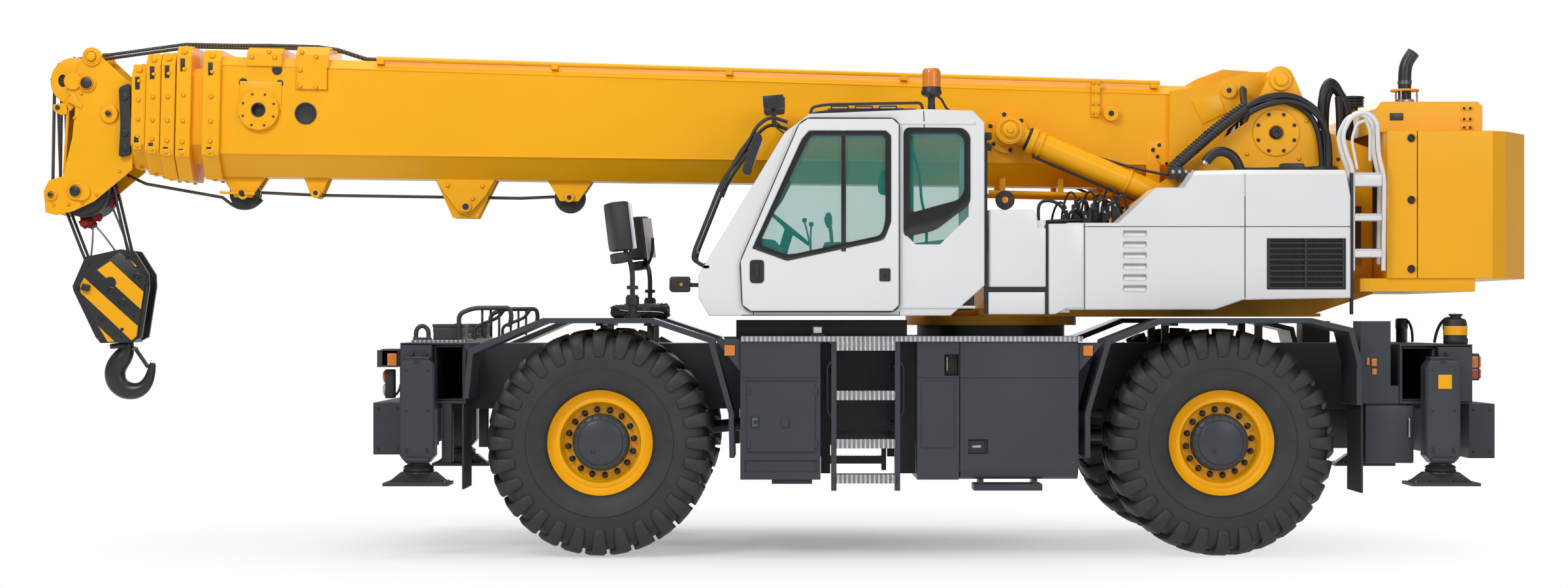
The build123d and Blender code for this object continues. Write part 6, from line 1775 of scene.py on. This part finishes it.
deck = Piece("deck_fittings_dressed", grey, flap_rubber, cast, yellow, plastic, zinc)
for side in (-1, 1):
    deck.block((-2.840, min(side * 0.70, side * 1.15), 1.776),
               (-2.600, max(side * 0.70, side * 1.15), 1.880), 0, 0.012)
    deck.block((-2.846, min(side * 0.694, side * 1.156), 1.878),
               (-2.594, max(side * 0.694, side * 1.156), 1.906), 0, 0.008)
    for y in (0.80, 1.05):
        deck.block((-2.852, side * y - 0.02, 1.84), (-2.842, side * y + 0.02, 1.90), 5, 0.003)
    deck.bent([(-2.620, side * 1.20, 1.776), (-2.620, side * 1.20, 1.990), (-2.500, side * 1.20, 2.038),
               (-2.200, side * 1.20, 2.040),
               (-2.185, side * 1.20, 1.975), (-2.200, side * 1.20, 1.880)], 0.019, 0, 0.05, sides=4)
    deck.bent([(-2.500, side * 1.12, 1.776), (-2.500, side * 1.12, 1.880), (-2.300, side * 1.12, 1.960),
               (-2.250, side * 1.12, 2.03)], 0.014, 0, 0.04)
    for x in (-2.43, -2.36, -2.29):
        deck.rod((x, side * 1.17, 1.80), (x, side * 1.17, 2.03), 0.010, 1)
    x, y = -2.930, side * 1.150
    ring = [(x + 0.052 * math.cos(t / 8 * math.pi), y, 1.828 + 0.062
             * math.sin(t / 8 * math.pi)) for t in range(9)]
    deck.tube([(x + 0.052, y, 1.776), *ring, (x - 0.052, y, 1.776)], 0.019, 0, smooth=False, sides=4)
    deck.block((x - 0.075, y - 0.03, 1.7755), (x + 0.075, y + 0.03, 1.795), 0, 0.006)
    deck.block((-2.80, min(side * 0.30, side * 0.62), 1.776), (-2.62, max(side * 0.30, side * 0.62), 1.82),
               1, 0.01)
CAN = (5.625, -1.210, 1.7393)
deck.turned(((0, 0), (0.095, 0), (0.100, 0.010), (0.100, 0.045), (0.092, 0.052), (0.092, 0.175),
             (0.080, 0.205), (0.045, 0.216),
             (0.045, 0.232), (0.058, 0.238), (0.058, 0.250), (0, 0.252)), CAN, (0, 0, 1), 1, 40)
deck.turned(((0.0925, 0.075), (0.0955, 0.075), (0.0955, 0.150), (0.0925, 0.150)), CAN, (0, 0, 1), 3, 40)
deck.tube([(5.625, -1.15, 1.93), (5.585, -1.10, 1.99), (5.52, -1.02, 1.93), (5.50, -1.0, 1.75)], 0.013, 1)
deck.done("carrier", "dark_grey_paint", sharp=50, stands_for=["deck_fittings"])

cloth_cover = Piece("case_cover", flap_rubber, zinc)
bmesh.ops.create_cube(cloth_cover.bm, size=2.0)
bmesh.ops.subdivide_edges(cloth_cover.bm, edges=cloth_cover.bm.edges[:], cuts=15, use_grid_fill=True)
for v in cloth_cover.bm.verts:
    u = v.co.copy()
    far = (abs(u.x) ** 5 + abs(u.y) ** 5 + abs(u.z) ** 5) ** 0.2
    u = u / far
    crease = 0.010 * math.sin(23 * u.x + 4 * u.z) * math.sin(9 * u.y + 2) + 0.006 * math.sin(41 * u.x - 17
            * u.y + 3 * u.z)
    slope = 0.75 + 0.25 * (u.x + 1) / 2 if u.z > 0 else 1.0
    v.co = Vector((-1.240 + u.x * (0.262 + crease), 1.100 + u.y * (0.172 + crease), 2.022 + u.z * slope
                   * (0.068 + crease)))
cloth_cover.tube([(-1.42, 0.915, 2.03), (-1.30, 0.915, 2.00), (-1.10, 0.915, 2.03), (-1.02, 0.915, 2.0)],
                 0.006, 1)
cloth_cover.done("carrier", "rubber", sharp=80)
print("carrier ends", MADE[-2:])

# %% [markdown]
# Mirrors stand on bent arms clamped in the front fenders' sockets. The real arms fold in before the crane
# slews.

# %% Mirrors
mirrors = Piece("mirrors", plastic, mirror_glass_painted_reflection, cast)
mirrors.bent([(-1.170, -1.450, 2.060), (-1.170, -1.450, 2.330), (-1.185, -1.500, 2.420),
              (-1.215, -1.555, 2.470), (-1.225, -1.570, 2.580)],
             0.021, 0, 0.06, sides=4)
mirrors.bent([(-1.200, -1.545, 2.440), (-1.150, -1.535, 2.560), (-1.150, -1.535, 2.700)], 0.015, 0, 0.05)
for z in (2.115, 2.190):
    mirrors.turned(((0.020, 0), (0.045, 0), (0.048, 0.010), (0.045, 0.030), (0.020, 0.030)),
                   (-1.170, -1.450, z), (0, 0, 1), 2, 28)
lean = Matrix.Rotation(math.radians(-7), 4, "Y") @ Matrix.Rotation(math.radians(24), 4, "Z")
mirrors.block((-1.360, -1.660, 2.500), (-1.190, -1.470, 2.900), 0, 0.035, lean)
mirrors.block((-1.200, -1.655, 2.515), (-1.180, -1.475, 2.885), 1, 0.004, lean)
mirrors.block((-1.330, -1.640, 2.400), (-1.215, -1.500, 2.485), 0, 0.022, lean)
mirrors.bolts([(-1.170 + 0.05 * math.cos(t), -1.450 + 0.05 * math.sin(t), 1.969) for t in (0.6, 2.2, 3.8,
        5.4)], (0, 0, 1), 0.010, 2)
mirrors.mirror().done("carrier", "black_plastic")
print("mirrors", MADE[-1])

# %% [markdown]
# Under the carrier run drive shafts, air lines and springs that show only as shapes in the shade.

# %% Underside: drive shafts, brake hoses and steering rods
under = Piece("underside", cast, hose_rubber, chrome, black)
for x0, x1 in ((-1.22, 0.35), (1.10, 3.43)):
    under.rod((x0, 0, 0.940), (x1, 0, 1.10 if x0 < 0 else 0.945), 0.055, 0)
    under.turned(((0, -0.02), (0.085, -0.02), (0.085, 0.02), (0, 0.02)), (x0 + 0.06, 0, 0.945), (1, 0, 0),
                 0, 28)
    under.turned(((0, -0.02), (0.085, -0.02), (0.085, 0.02), (0, 0.02)),
                 (x1 - 0.06, 0, 1.09 if x0 < 0 else 0.945), (1, 0, 0), 0, 28)
under.block((0.30, -0.30, 0.86), (1.12, 0.30, 1.22), 3, 0.05)
under.block((0.42, -0.36, 0.92), (0.98, 0.36, 1.14), 0, 0.04)
for x in (-1.433, 3.644):
    for side in (-1, 1):
        under.tube([(x + 0.10, side * 0.42, 1.30), (x + 0.16, side * 0.60, 1.22),
                    (x + 0.15, side * 0.80, 1.13), (x + 0.12, side * 0.86, 1.10)], 0.014, 1)
        under.turned(((0, 0), (0.075, 0), (0.080, 0.02), (0.080, 0.09), (0.055, 0.12), (0, 0.12)),
                     (x + 0.17, side * 0.55, 1.06), (0, 0, 1), 3, 28)
under.done("carrier", "black_paint")
print("underside", MADE[-1])

# %% [markdown]
# The space between the cab and the deck is dark with shaded machinery, so a low black block stands on the
# deck there: a simple stand-in for that machinery, with its shade painted in black. It ends under
# # the cab's floor and short of the turning base plate, so the upper can turn all the way.

# %% Painted shade: a low black block on the deck under the cab
deck_cover = Piece("deck_cover", black)
deck_cover.block((-0.33, -0.95, 1.776), (1.10, -0.45, 1.940), 0, 0.006)
deck_cover.done("carrier", "black_paint")
print("under the cab", MADE[-1])
